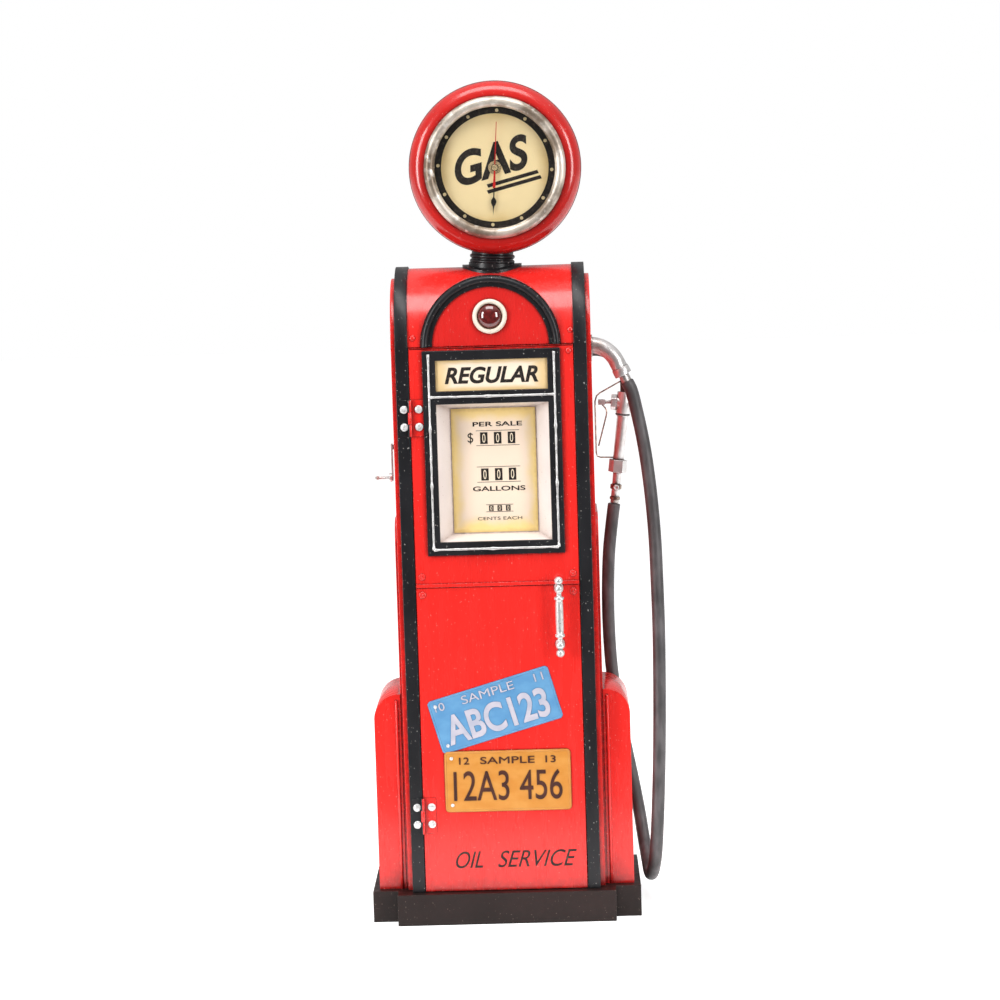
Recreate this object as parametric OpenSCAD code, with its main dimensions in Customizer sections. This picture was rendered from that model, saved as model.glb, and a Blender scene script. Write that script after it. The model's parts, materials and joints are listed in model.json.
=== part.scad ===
// Gas pump cabinet: a decorative sheet-metal pump with a clock in its globe,
// shelves behind one long door, a hose with a nozzle and a small reset crank.
// Millimetres. +Z up, the door faces -Y, the origin is under the middle of the plinth.

/* [Plinth] */
// Height of the plinth
plinth_h = 31.5; // [22:0.5:45]
// How far the plinth's middle section stands out beside the body
plinth_step = 15; // [8:1:30]
// How far the plinth's middle section stands out before and behind the body
plinth_toe = 12.5; // [6:0.5:25]
// How far the plinth's side sections stand out beyond the fenders
plinth_margin = 6.5; // [3:0.5:15]
// How far the side sections are set back from the middle section
plinth_notch = 19; // [8:1:40]
// Wall of the plinth shell
plinth_wall = 2; // [1:0.5:4]
// Thickness of the base board inside the plinth
board_t = 10; // [6:1:18]

/* [Body] */
// Width of the body over the trim bands
body_w = 188; // [150:1:230]
// Depth of the body, which is also the roof's diameter
body_d = 149; // [120:1:190]
// Height of the body from the plinth to the top of the door
body_h = 545.5; // [440:1:660]
// Thickness of the sheet metal
sheet = 1.2; // [0.8:0.1:2]
// Width of the trim bands
band_w = 12.5; // [8:0.5:20]
// Thickness of the trim bands
band_t = 2; // [1:0.5:4]

/* [Arch] */
// How far the arch over the door ends below the roof's crown
arch_drop = 5.5; // [3:0.5:20]
// Width of the arch moulding
arch_mould_w = 11.5; // [8:0.5:16]
// Thickness of the arch moulding
arch_mould_t = 1.5; // [1:0.5:4]
// Radius of the bead on the arch moulding
arch_bead_r = 3.2; // [2:0.2:4]
// Height of the lamp above the door's top
lamp_up = 28.5; // [22:0.5:36]
// Radius of the lamp lens
lamp_r = 12; // [8:0.5:15]
// Width of the lamp bezel
lamp_bezel_w = 4.8; // [3:0.2:7]

/* [Side panels] */
// How far the side panels stand out from the body
panel_out = 4.7; // [2:0.1:8]
// How far the side panels are set in from the body's front, back and crown
panel_inset = 9.5; // [5:0.5:20]
// How far the pilaster stands out from the side panel
pilaster_out = 2.6; // [1.5:0.1:6]
// Half the depth of the pilaster
pilaster_half = 56; // [30:1:58]
// Height of the pilaster above the plinth
pilaster_h = 374; // [250:1:420]
// Radius of the corners at the pilaster's top
pilaster_corner = 22; // [5:1:28]

/* [Fenders] */
// How far the fender stands out from the pilaster
fender_out = 26.7; // [15:0.5:40]
// Height of the fender above the plinth
fender_h = 198; // [120:1:240]
// Radius of the fender's outer top edge
fender_r = 25; // [6:0.5:26]
// Front face of the fender, behind the body's middle when positive
fender_front = -57; // [-60:1:-30]
// Back face of the fender
fender_back = 45; // [20:1:46]

/* [Door] */
// Gap around the door
door_gap = 0.8; // [0.5:0.1:1.5]
// How far the door's face lies behind the bands' faces
door_sink = 1; // [0.5:0.1:2]
// Depth of the door pan
door_pan_d = 8; // [6:0.5:12]
// Width of the flange turned in around the back of the door pan
door_lip = 8; // [5:0.5:14]
// Height of the seam strip above the plinth
seam_strip_up = 309.2; // [270:1:325]
// Height of the seam strip itself
seam_strip_h = 3.6; // [2:0.2:6]

/* [Window] */
// Distance from the window frame's side to the door's edge
window_side = 13; // [13:0.5:24]
// Distance from the window frame's top to the door's top
window_top = 3.2; // [2:0.2:10]
// Height of the window frame
window_h = 202.3; // [180:0.5:206]
// Thickness of the window frame
window_t = 3.2; // [2:0.2:5]
// Width of the frame's stiles beside the openings
window_stile = 12.6; // [10:0.2:20]
// Distance from the frame's top to the sign opening
sign_top = 9.5; // [6:0.5:14]
// Height of the sign opening
sign_h = 30.5; // [20:0.5:34]
// Height of the bar between the sign and the display opening
window_bar = 12.7; // [9:0.1:16]
// Height of the display opening
display_h = 136.3; // [110:0.1:136.5]
// Depth of the display recess
display_d = 20; // [10:1:30]
// How far the display card's sides lie inside the opening's sides
display_slope = 13.4; // [6:0.1:20]
// How far the display card's top and bottom lie inside the opening's
display_slope_z = 6.5; // [4:0.1:20]
// Radius of the raised bead on the frame
piping_r = 1.3; // [0.8:0.1:2]
// Distance of the raised bead from the frame's edges
piping_in = 6.2; // [4:0.1:9]

/* [Hinges] */
// Height of the lower hinge above the plinth
hinge_low = 78; // [50:1:120]
// Height of the upper hinge above the plinth
hinge_high = 476; // [420:1:500]
// Height of a hinge leaf
leaf_h = 36; // [24:1:50]
// Thickness of a hinge leaf
leaf_t = 0.8; // [0.5:0.1:1.5]
// Outer radius of the hinge knuckle
knuckle_r = 1.9; // [1.5:0.1:3]
// Radius of the hinge pin
pin_r = 0.9; // [0.6:0.1:1.1]
// Diameter of a hinge rivet's head
rivet_d = 8; // [5:0.5:9]
// Vertical distance between a hinge's rivets
rivet_pitch = 17.4; // [12:0.2:24]
// Distance from the hinge line to the rivets on the band
rivet_band_x = 5.7; // [4.5:0.1:7]
// Distance from the hinge line to the rivets on the door
rivet_door_x = 8.8; // [6:0.1:9]

/* [Door handle] */
// Distance from the body's middle to the handle
handle_x = 60.2; // [30:0.5:66]
// Height of the handle's middle above the plinth
handle_up = 276.5; // [250:0.5:278]
// Distance between the handle's posts
handle_span = 56; // [40:1:60]
// Distance from the door to the handle's axis
handle_out = 12; // [10:0.5:25]
// Radius of the handle's bar
handle_r = 3.85; // [2.5:0.1:6]

/* [Plates] */
// Width of the two pressed plates
plate_w = 125.5; // [90:0.5:130]
// Height of the upper, tilted plate
plate_a_h = 55; // [40:0.5:62]
// Height of the lower plate
plate_b_h = 61.3; // [40:0.5:62]
// Tilt of the upper plate, in degrees
plate_tilt = 16; // [0:1:20]
// Thickness of the plates
plate_t = 0.8; // [0.5:0.1:1.5]

/* [Cabinet] */
// Gap between the shelves' ends and the side walls
shelf_gap = 0.5; // [0.3:0.1:2]
// Height of the shelves' front lips
shelf_lip = 10; // [6:1:20]
// Distance from one shelf to the next
shelf_pitch = 133; // [100:1:140]
// Width of the ledges' legs
ledge_w = 10; // [6:1:15]
// Set-back of the shelves from the door's pan
shelf_back = 20; // [16:1:30]

/* [Globe] */
// Outer radius of the globe's rims
globe_r = 85; // [75:1:100]
// Radius of the rims' tube
rim_tube = 14; // [10:0.5:15]
// Distance between the middles of the two rims
rim_pitch = 46; // [40:1:56]
// Height of the neck between the roof's crown and the globe
neck_h = 13.5; // [11:0.5:25]
// Sideways place of the neck on the roof
neck_x = 2.5; // [-5:0.5:5]
// Sideways lean of the neck and globe, in degrees
globe_lean = 3.6; // [0:0.2:5]
// Radius of the neck collar
neck_r = 22.3; // [16:0.1:26]
// Radius of the flange under the neck
neck_flange_r = 29.7; // [26:0.1:34]

/* [Clock] */
// Width of the clock bezel
bezel_w = 10.5; // [8:0.5:12]
// Length of the hour hand
hour_len = 26; // [18:1:34]
// Length of the minute hand
minute_len = 47; // [36:1:52]
// Length of the second hand
second_len = 45; // [36:1:52]
// Width of the quartz movement
movement_w = 56; // [50:1:60]

/* [Outlet] */
// Distance of the outlet in front of the body's middle
outlet_y = 25; // [15:1:35]
// Height of the outlet's start above the plinth
outlet_up = 540; // [500:1:545]
// Radius of the elbow's tube
elbow_r = 8; // [6:0.5:10]
// Bend radius of the elbow
elbow_bend = 30; // [26:1:34]
// Angle through which the elbow turns down, in degrees
elbow_turn = 64; // [50:1:75]

/* [Nozzle] */
// Sideways lean of the nozzle, in degrees
nozzle_lean = 6.7; // [0:0.1:10]
// Radius of the nozzle's grip tube
grip_r = 5.75; // [4.5:0.25:7]
// Radius of the spout
spout_r = 4.5; // [3.5:0.25:5]
// Bend radius of the spout
spout_bend = 30; // [24:1:34]
// How far the spout reaches into its boot
spout_in = 26; // [15:1:32]
// Radius of the trigger guard's wire
guard_wire_r = 0.8; // [0.6:0.1:1.2]

/* [Crank] */
// Height of the crank's shaft above the plinth
crank_up = 441; // [420:1:480]
// Length of the crank's arm
crank_len = 31; // [20:1:40]

/* [Hidden] */
$fn = 64;
fit = 0.2;                 // clearance of a piece that seats inside another
run = 0.06;                // radial clearance of a turning shaft
free = 0.3;                // clearance between pieces that pass each other
seam_fit = 0.1;            // clearance of a curved sheet that lies on another
e = 1;                     // over-travel of a cutting solid

red = "#d4202a";
black = "#1c1c1e";
silver = "#c8c8cc";
cream = "#efe6c6";
brown = "#2c1d18";

deck_z = plinth_h;
seam_z = deck_z + body_h;
roof_r = body_d / 2;
crown_z = seam_z + roof_r;
half_w = body_w / 2;
wall_in = half_w - sheet;
face_y = -(roof_r + band_t);                 // front of the trim bands
door_y = face_y + door_sink;                 // front of the door
door_half = half_w - band_w - door_gap;
door_z0 = deck_z + door_gap;
door_z1 = seam_z - door_gap;
panel_x = half_w + panel_out;
pilaster_x = panel_x + pilaster_out;
fender_x = pilaster_x + fender_out;
plinth_w = body_w + 2 * plinth_step;
plinth_d = body_d + 2 * plinth_toe;
plinth_side_w = 2 * (fender_x + plinth_margin);
plinth_side_d = plinth_d - 2 * plinth_notch;

arch_r = min(roof_r - arch_drop, half_w - band_w - door_gap - 11.5);
arch_bead_at = arch_r - arch_bead_r - 1;
lamp_z = seam_z + lamp_up;

window_half = door_half - window_side;
window_z1 = door_z1 - window_top;
window_z0 = window_z1 - window_h;
open_half = window_half - window_stile;
sign_z1 = window_z1 - sign_top;
sign_z0 = sign_z1 - sign_h;
display_z1 = sign_z0 - window_bar;
display_z0 = display_z1 - display_h;
display_z = (display_z0 + display_z1) / 2;
window_y = door_y - window_t;
display_back = door_y + display_d;

seam_strip_z = deck_z + seam_strip_up;
hinge_x = -(half_w - band_w) + 0.3;
hinge_y = face_y - knuckle_r - free;
hinges_z = [deck_z + hinge_low, deck_z + hinge_high];
handle_z = deck_z + handle_up;
handle_y = door_y - handle_out;

plate_a_at = [-6.3, deck_z + 183.3];
plate_b_at = [4.4, deck_z + 111.7];
plate_corner = 4;
plate_hole_in = 7;

shelf_y0 = door_y + door_pan_d + shelf_back;
shelf_y1 = roof_r - 2 * sheet - fit;
shelves_z = [for (i = [1:3]) deck_z + i * shelf_pitch];

globe_up = globe_r + neck_h;
rim_r = globe_r - rim_tube;
rim_y = rim_pitch / 2;
bezel_in = rim_r - 1 - bezel_w;
rim_mouth = bezel_in + 6.5;
globe_front = rim_y + rim_tube;
drum_r = rim_r + 9;
dial_r = rim_mouth - 2.2;
dial_y = -(globe_front - 7);
glass_y = dial_y - 5.4;
globe_c = [neck_x + globe_up * sin(globe_lean), 0, crown_z + globe_up * cos(globe_lean)];
bushing_r = 4;
tube_hour = 2.3;
tube_minute = 1.6;
pin_second = 0.85;
movement_t = 16;
battery_r = 7;

outlet_z = deck_z + outlet_up;
elbow_wall = 1.5;
tail_r = 5.25;
tail_len = 14;
tail_grip = 6;             // how far the hose is pushed on past its visible end
collar_len = 8;

hose_r = 6.5;
hose_sides = 12;
hose_route = [
    [134, -25, 534], [138.5, -25, 524], [143, -25, 504], [148, -25.5, 478], [152, -26, 450],
    [155.5, -27, 415], [158, -28, 375], [159, -30, 330], [159.5, -32, 285], [159, -34, 240],
    [158, -36, 195], [156.5, -38, 150], [154.5, -40, 110], [152.5, -40, 77], [150.5, -33, 51],
    [148, -14, 32], [146, 12, 25], [144.5, 38, 32], [141.5, 57, 51], [138, 64, 77],
    [132.5, 64, 110], [125, 63, 150], [118, 62, 190], [113, 61, 230], [111, 60, 270],
    [111, 60, 310], [113, 60, 350], [116.5, 60, 380], [119.7, 60, 402]];

nozzle_at = [120, 60, 402.6];
nut_s = [32, 45];
grip_s = [45, 90];
valve_s = [93, 115];
cross_s = 103.5;
valve_top = nozzle_at + valve_s[1] * [sin(nozzle_lean), 0, cos(nozzle_lean)];
spout_at = [valve_top[0], valve_top[1], valve_top[2] + 12.2];
boot_x = panel_x;
boot_wall = 1.8;
boot_r = spout_r + 0.5;
spout_z = spout_at[2] + spout_bend;
trigger_at = [108, 60, 507];
guard_route = [[129.5, 60, 528], [108, 60, 516.5], [104.5, 60, 513.5], [102.8, 60, 508], [102.8, 60, 480],
    [102.8, 60, 455], [103.8, 60, 451.4], [107, 60, 450.2], [120, 60, 449.8]];
trigger_route = [[109.2, 60, 505.5], [113, 60, 501], [114.3, 60, 498.5], [114.5, 60, 496], [114, 60, 493], [105.4, 60, 462]];

crank_z = deck_z + crank_up;
crank_shaft_r = 2.5;
crank_arm_t = 1.6;
crank_arm_x = -(panel_x + 4.6);

// ---------- shared shapes ----------

// A plan or outline drawn in Y and Z, given thickness h along +X from x = 0.
module along_x(h) {
    rotate([90, 0, 90]) linear_extrude(h) children();
}

// A turned shape whose axis points to -Y from the point at.
module facing_front(at) {
    translate(at) rotate([90, 0, 0]) children();
}

module on_left_too(side) {
    mirror([side < 0 ? 1 : 0, 0, 0]) children();
}

// The body's outline from the side, with a half-round top of radius r.
module body_outline(r) {
    translate([-r, deck_z]) square([2 * r, body_h]);
    translate([0, seam_z]) circle(r, $fn = 128);
}

// A box given by its two corners.
module block(low, high) {
    translate(low) cube(high - low);
}

// A straight round bar between two points.
module bar(p, q, r) {
    d = q - p;
    translate(p) rotate([0, acos(d[2] / norm(d)), atan2(d[1], d[0])]) cylinder(r = r, h = norm(d));
}

// A half-round bar's section that bulges towards -Y.
module half_round(r) {
    intersection() {
        circle(r, $fn = 32);
        translate([-r, -r]) square([2 * r, r]);
    }
}

// A dome of base diameter d and height h that stands on z = 0.
module dome(d, h) {
    r = (d * d / 4 + h * h) / (2 * h);
    intersection() {
        translate([0, 0, h - r]) sphere(r);
        cylinder(d = d + e, h = h + e);
    }
}

// A flat plate with rounded corners, standing in X and Z with its back at y.
module rounded_plate(at, size, corner, y, t, tilt) {
    translate([at[0], y, at[1]]) rotate([90, -tilt, 0]) linear_extrude(t) {
        square([size[0] - 2 * corner, size[1]], center = true);
        square([size[0], size[1] - 2 * corner], center = true);
        for (i = [-1, 1], j = [-1, 1])
            translate([i * (size[0] / 2 - corner), j * (size[1] / 2 - corner)]) circle(corner);
    }
}

// ---------- plinth ----------

module plinth_plan(inset) {
    square([plinth_w - 2 * inset, plinth_d - 2 * inset], center = true);
    square([plinth_side_w - 2 * inset, plinth_side_d - 2 * inset], center = true);
}

module plinth_shell() {
    color(brown) difference() {
        linear_extrude(plinth_h) plinth_plan(0);
        translate([0, 0, -e]) linear_extrude(plinth_h - plinth_wall + e) plinth_plan(plinth_wall);
    }
}

module plinth_board() {
    color("burlywood") linear_extrude(board_t) plinth_plan(plinth_wall + fit);
}

// ---------- carcass ----------

module side_wall() {
    translate([wall_in, 0, 0]) along_x(sheet) {
        translate([-roof_r, deck_z]) square([2 * roof_r, body_h]);
        translate([0, seam_z]) circle(roof_r - sheet, $fn = 128);
    }
    for (y = [-roof_r, roof_r - sheet])
        block([half_w - band_w, y, deck_z], [half_w, y + sheet, seam_z]);
}

module side_wall_left() {
    color(red) difference() {
        on_left_too(-1) side_wall();
        translate([-half_w - e, 0, crank_z]) rotate([0, 90, 0]) cylinder(r = crank_shaft_r + 2 + fit, h = 2 * e + sheet);
    }
}

module side_wall_right() {
    color(red) difference() {
        side_wall();
        right_side_holes(wall_in - e, sheet + 2 * e);
    }
}

// The holes that the outlet and the nozzle's boot pass through.
module right_side_holes(x, h) {
    translate([x, -outlet_y, outlet_z]) rotate([0, 90, 0]) cylinder(r = elbow_r + fit, h = h);
    translate([x, spout_at[1], spout_z]) rotate([0, 90, 0]) cylinder(r = boot_r + boot_wall + fit, h = h);
}

module back_panel() {
    color(red) block([-wall_in + fit, roof_r - 2 * sheet, deck_z + sheet + fit],
        [wall_in - fit, roof_r - sheet, seam_z]);
}

module cabinet_floor() {
    color(red) block([-wall_in + fit, -roof_r + sheet + door_pan_d, deck_z],
        [wall_in - fit, roof_r - 2 * sheet, deck_z + sheet]);
}

module roof_sheet() {
    color(red) difference() {
        translate([-half_w, 0, 0]) along_x(body_w) difference() {
            translate([0, seam_z]) circle(roof_r, $fn = 128);
            translate([0, seam_z]) circle(roof_r - sheet, $fn = 128);
            translate([-roof_r - e, seam_z - roof_r - e]) square([2 * roof_r + 2 * e, roof_r + e]);
        }
        facing_front([0, 0, seam_z]) cylinder(r = arch_r - sheet, h = roof_r + e, $fn = 128);
        translate([neck_x, 0, crown_z - 10]) cylinder(r = neck_bolt_r + 1, h = 20);
    }
}

header_d = 11;
module door_header() {
    color(red) {
        block([-wall_in + fit, -roof_r + sheet + fit, seam_z],
            [wall_in - fit, -roof_r + sheet + header_d, seam_z + sheet]);
        block([-wall_in + fit, -roof_r + header_d, seam_z - header_d],
            [wall_in - fit, -roof_r + sheet + header_d, seam_z + sheet]);
    }
}

// ---------- arch and lamp ----------

module arch_housing() {
    color(red) difference() {
        facing_front([0, 0, seam_z]) difference() {
            cylinder(r = arch_r, h = roof_r, $fn = 128);
            translate([0, 0, -e]) cylinder(r = arch_r - sheet, h = roof_r - sheet + e, $fn = 128);
        }
        difference() {
            translate([-half_w, 0, seam_z]) rotate([0, 90, 0]) cylinder(r = roof_r + seam_fit, h = body_w, $fn = 128);
            facing_front([0, 0, seam_z]) cylinder(r = arch_r - sheet - fit, h = roof_r + e, $fn = 128);
        }
        block([-half_w, -roof_r - e, seam_z - roof_r], [half_w, e, seam_z]);
        facing_front([0, -roof_r + sheet + e, lamp_z]) cylinder(r = lamp_r + fit, h = sheet + 2 * e);
    }
}

module arch_moulding() {
    color(black) facing_front([0, -roof_r, seam_z]) rotate_extrude(angle = 180, $fn = 128) {
        translate([arch_r - arch_mould_w, 0]) square([arch_mould_w, arch_mould_t]);
        intersection() {
            translate([arch_bead_at, arch_mould_t]) circle(arch_bead_r, $fn = 32);
            translate([arch_r - arch_mould_w, 0]) square([arch_mould_w, arch_mould_t + arch_bead_r + e]);
        }
    }
}

module lamp_bezel() {
    color(cream) facing_front([0, -roof_r, lamp_z]) rotate_extrude() {
        translate([lamp_r + fit, 0]) square([lamp_bezel_w, 2]);
        intersection() {
            translate([lamp_r + fit + lamp_bezel_w / 2, 2]) circle(lamp_bezel_w / 2, $fn = 32);
            translate([lamp_r, 0]) square([lamp_bezel_w + e, 6]);
        }
    }
}

lens_rim = 1;
module lamp_lens() {
    color("#7a1216") facing_front([0, -roof_r, lamp_z]) {
        translate([0, 0, -sheet - 2.2]) cylinder(r = lamp_r + 2.5, h = 2.2);
        translate([0, 0, -sheet]) cylinder(r = lamp_r, h = sheet + lens_rim);
        translate([0, 0, lens_rim]) dome(2 * lamp_r, 7);
    }
}

// ---------- trim, side panels, fenders ----------

module trim_bands() {
    color(black) for (x = [-half_w, half_w - band_w])
        translate([x, 0, 0]) along_x(band_w) difference() {
            body_outline(roof_r + band_t);
            body_outline(roof_r);
            translate([-roof_r, deck_z - e]) square([2 * roof_r, body_h]);
        }
}

module pilaster_outline(inset) {
    h = pilaster_h - inset;
    half = pilaster_half - inset;
    corner = pilaster_corner - inset;
    translate([-half, deck_z]) square([2 * half, h - corner]);
    translate([-half + corner, deck_z]) square([2 * (half - corner), h]);
    for (s = [-1, 1]) translate([s * (half - corner), deck_z + h - corner]) circle(corner);
}

module side_panel() {
    r = roof_r - panel_inset;
    difference() {
        union() {
            translate([half_w, 0, 0]) along_x(panel_out) body_outline(r);
            translate([half_w, 0, 0]) along_x(panel_out + pilaster_out) pilaster_outline(0);
        }
        translate([half_w - e, 0, -e]) along_x(panel_out - sheet + e) body_outline(r - sheet);
        translate([half_w - e, 0, -e]) along_x(panel_out + pilaster_out - sheet + e) pilaster_outline(sheet);
    }
}

module side_panel_left() {
    color(red) difference() {
        on_left_too(-1) side_panel();
        translate([-panel_x - e, 0, crank_z]) rotate([0, 90, 0])
            cylinder(r = crank_shaft_r + 2 + fit, h = panel_out + 2 * e);
    }
}

module side_panel_right() {
    color(red) difference() {
        side_panel();
        right_side_holes(half_w - e, panel_out + 2 * e);
    }
}

module fender_outline(inset) {
    w = fender_out - inset;
    h = fender_h - inset;
    r = min(fender_r, fender_out - 1) - inset;
    start = inset > 0 ? -e : 0;
    translate([start, 0]) square([w - r - start, h]);
    translate([start, 0]) square([w - start, h - r]);
    intersection() {
        translate([w - r, h - r]) circle(r);
        translate([w - r, h - r]) square(r);
    }
}

module fender() {
    rib_r = 1.6;
    difference() {
        translate([pilaster_x, fender_back, deck_z]) rotate([90, 0, 0])
            linear_extrude(fender_back - fender_front) fender_outline(0);
        translate([pilaster_x, fender_back - sheet, deck_z - e]) rotate([90, 0, 0])
            linear_extrude(fender_back - fender_front - 2 * sheet) fender_outline(sheet);
        block([pilaster_x - e, fender_front + sheet, deck_z - e],
            [pilaster_x + fender_out - sheet, fender_back - sheet, deck_z + e]);
    }
    translate([pilaster_x + 4, fender_front, deck_z]) cylinder(r = rib_r, h = fender_h - 6);
}

module fender_left() {
    color(red) on_left_too(-1) fender_solid();
}

module fender_right() {
    color(red) fender_solid();
}

// The fender with the part of its rib that lies inside the shell taken off.
module fender_solid() {
    difference() {
        fender();
        block([pilaster_x + sheet, fender_front + sheet, deck_z - e],
            [pilaster_x + 8, fender_front + 4, deck_z + fender_h - 6 - e]);
    }
}

// ---------- cabinet ----------

module shelf_ledges() {
    color(silver) for (z = shelves_z, s = [-1, 1]) on_left_too(s) {
        block([wall_in - ledge_w, shelf_y0 + 3, z - sheet], [wall_in, shelf_y1 - 2, z]);
        block([wall_in - sheet, shelf_y0 + 3, z - ledge_w], [wall_in, shelf_y1 - 2, z]);
    }
}

module shelves() {
    x = wall_in - shelf_gap;
    color(red) for (z = shelves_z) {
        block([-x, shelf_y0, z], [x, shelf_y1, z + sheet]);
        block([-x, shelf_y0, z - shelf_lip], [x, shelf_y0 + sheet, z + sheet]);
    }
}

catch_z = handle_z;
catch_h = 24;
strike_t = 1.5;
catch_y = door_y + door_pan_d + strike_t + free;
module catch_magnet() {
    color("#444448") block([wall_in - 18, catch_y, catch_z - catch_h / 2],
        [wall_in, catch_y + 10, catch_z + catch_h / 2]);
}

module catch_strike() {
    color(silver) block([door_half - door_lip, door_y + door_pan_d, catch_z - catch_h / 2],
        [door_half - sheet, door_y + door_pan_d + strike_t, catch_z + catch_h / 2]);
}

// ---------- hinges and rivets ----------

module knuckle(z, from, to) {
    translate([hinge_x, hinge_y, z - leaf_h / 2 + leaf_h * from]) cylinder(r = knuckle_r, h = leaf_h * (to - from));
}

module pin_bore(z, clearance) {
    translate([hinge_x, hinge_y, z - leaf_h / 2 - e]) cylinder(r = pin_r + clearance, h = leaf_h + 2 * e);
}

knuckle_cut = 0.3 / leaf_h;
module body_hinges() {
    color(black) for (z = hinges_z) {
        difference() {
            union() {
                block([-half_w + 2, face_y - leaf_t, z - leaf_h / 2],
                    [hinge_x - knuckle_r + 0.6, face_y, z + leaf_h / 2]);
                for (f = [[0, 1 / 3], [2 / 3, 1]]) {
                    knuckle(z, f[0], f[1]);
                    block([hinge_x - knuckle_r + free, hinge_y - 0.4, z - leaf_h / 2 + leaf_h * f[0]],
                        [hinge_x - knuckle_r / 2, face_y, z - leaf_h / 2 + leaf_h * f[1]]);
                }
            }
            pin_bore(z, 0);
        }
        translate([hinge_x, hinge_y, z - leaf_h / 2]) cylinder(r = pin_r, h = leaf_h);
    }
}

module door_hinges() {
    color(red) for (z = hinges_z) difference() {
        union() {
            block([hinge_x + 0.6, door_y - leaf_t, z - leaf_h / 2], [hinge_x + rivet_door_x + rivet_d / 2 + 0.4, door_y, z + leaf_h / 2]);
            knuckle(z, 1 / 3 + knuckle_cut, 2 / 3 - knuckle_cut);
            block([hinge_x + 0.6, hinge_y - 0.4, z - leaf_h * (1 / 6 - knuckle_cut)],
                [hinge_x + knuckle_r, door_y, z + leaf_h * (1 / 6 - knuckle_cut)]);
        }
        pin_bore(z, run);
    }
}

rivet_h = 2.2;
module body_rivets() {
    color("#d8d8da") {
        for (z = hinges_z, s = [-1, 1])
            facing_front([hinge_x - rivet_band_x, face_y - leaf_t, z + s * rivet_pitch / 2]) dome(rivet_d, rivet_h);
        for (x = [-1, 1], i = [0:4])
            translate([x * (half_w - band_w - 6), roof_r - sheet, deck_z + 20 + i * (body_h - 40) / 4])
                rotate([-90, 0, 0]) dome(5, 1.8);
    }
}

module door_rivets() {
    color("#d8d8da") {
        for (z = hinges_z, s = [-1, 1])
            facing_front([hinge_x + rivet_door_x, door_y - leaf_t, z + s * rivet_pitch / 2]) dome(rivet_d, rivet_h);
        for (s = [-1, 1], t = [-1, 1])
            facing_front([s * (door_half - 6), door_y, seam_strip_z + t * 9]) dome(7, 1.6);
        for (s = [-1, 1]) {
            facing_front(plate_hole(plate_a_at, plate_a_h, plate_tilt, s, door_y - plate_t)) dome(3.6, 1.2);
            facing_front(plate_hole(plate_b_at, plate_b_h, 0, s, door_y - 2 * plate_t - 0.1)) dome(3.6, 1.2);
        }
    }
}

// A fixing at the left end of a plate: s is -1 for the lower one and 1 for the upper.
function plate_hole(at, h, tilt, s, y) =
    let (u = -plate_w / 2 + plate_hole_in, v = s * (h / 2 - plate_hole_in))
    [at[0] + u * cos(tilt) - v * sin(tilt), y, at[1] + u * sin(tilt) + v * cos(tilt)];

// ---------- door ----------

module door_panel() {
    color(red) difference() {
        block([-door_half, door_y, door_z0], [door_half, door_y + door_pan_d, door_z1]);
        block([-door_half + sheet, door_y + sheet, door_z0 + sheet],
            [door_half - sheet, door_y + door_pan_d - sheet, door_z1 - sheet]);
        block([-door_half + door_lip, door_y + sheet, door_z0 + door_lip],
            [door_half - door_lip, door_y + door_pan_d + e, door_z1 - door_lip]);
        block([-open_half - sheet - fit, door_y - e, display_z0 - sheet - fit],
            [open_half + sheet + fit, door_y + sheet + e, display_z1 + sheet + fit]);
        for (s = [-1, 1])
            facing_front([handle_x, door_y + 2 * sheet, handle_z + s * handle_span / 2]) cylinder(r = 1.6, h = 3 * sheet);
    }
}

module door_seam_strip() {
    color(red) block([-door_half, door_y - sheet, seam_strip_z - seam_strip_h / 2],
        [door_half, door_y, seam_strip_z + seam_strip_h / 2]);
}

module window_frame() {
    color(black) difference() {
        block([-window_half, window_y, window_z0], [window_half, door_y, window_z1]);
        block([-open_half, window_y - e, sign_z0], [open_half, door_y + e, sign_z1]);
        block([-open_half, window_y - e, display_z0], [open_half, door_y + e, display_z1]);
    }
}

module window_piping() {
    x = window_half - piping_in;
    low = window_z0 + piping_in;
    mid = (sign_z0 + display_z1) / 2;
    color(silver) {
        for (s = [-1, 1]) translate([s * x, window_y, low - piping_r])
            linear_extrude(window_z1 - 2 - low + piping_r) half_round(piping_r);
        for (z = [low, mid]) translate([-x + piping_r, window_y, z]) rotate([0, 90, 0])
            linear_extrude(2 * x - 2 * piping_r) half_round(piping_r - 0.1);
    }
}

card_t = 0.8;
module printed_cards() {
    color(cream) {
        block([-open_half + fit, door_y - card_t, sign_z0 + fit], [open_half - fit, door_y, sign_z1 - fit]);
        block([-open_half + display_slope, display_back - card_t, display_z0 + display_slope_z],
            [open_half - display_slope, display_back, display_z1 - display_slope_z]);
    }
}

// A rectangular funnel that narrows from y0 to y1, towards the back of the door.
module funnel(grow, y0, y1) {
    front = [open_half + grow, display_h / 2 + grow];
    back = [open_half - display_slope + 1 + grow, display_h / 2 - display_slope_z + 1 + grow];
    corners = [[-1, -1], [1, -1], [1, 1], [-1, 1]];
    translate([0, 0, display_z]) polyhedron(
        [for (c = corners) [c[0] * front[0], y0, c[1] * front[1]], for (c = corners) [c[0] * back[0], y1, c[1] * back[1]]],
        [[3, 2, 1, 0], [4, 5, 6, 7], [0, 1, 5, 4], [1, 2, 6, 5], [2, 3, 7, 6], [3, 0, 4, 7]]);
}

module shadow_box() {
    color(cream) {
        difference() {
            funnel(sheet, door_y, display_back);
            funnel(0, door_y - 0.01, display_back + 0.01);
        }
        block([-open_half + display_slope - 1 - sheet, display_back, display_z0 + display_slope_z - 1 - sheet],
            [open_half - display_slope + 1 + sheet, display_back + sheet, display_z1 - display_slope_z + 1 + sheet]);
    }
}

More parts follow.
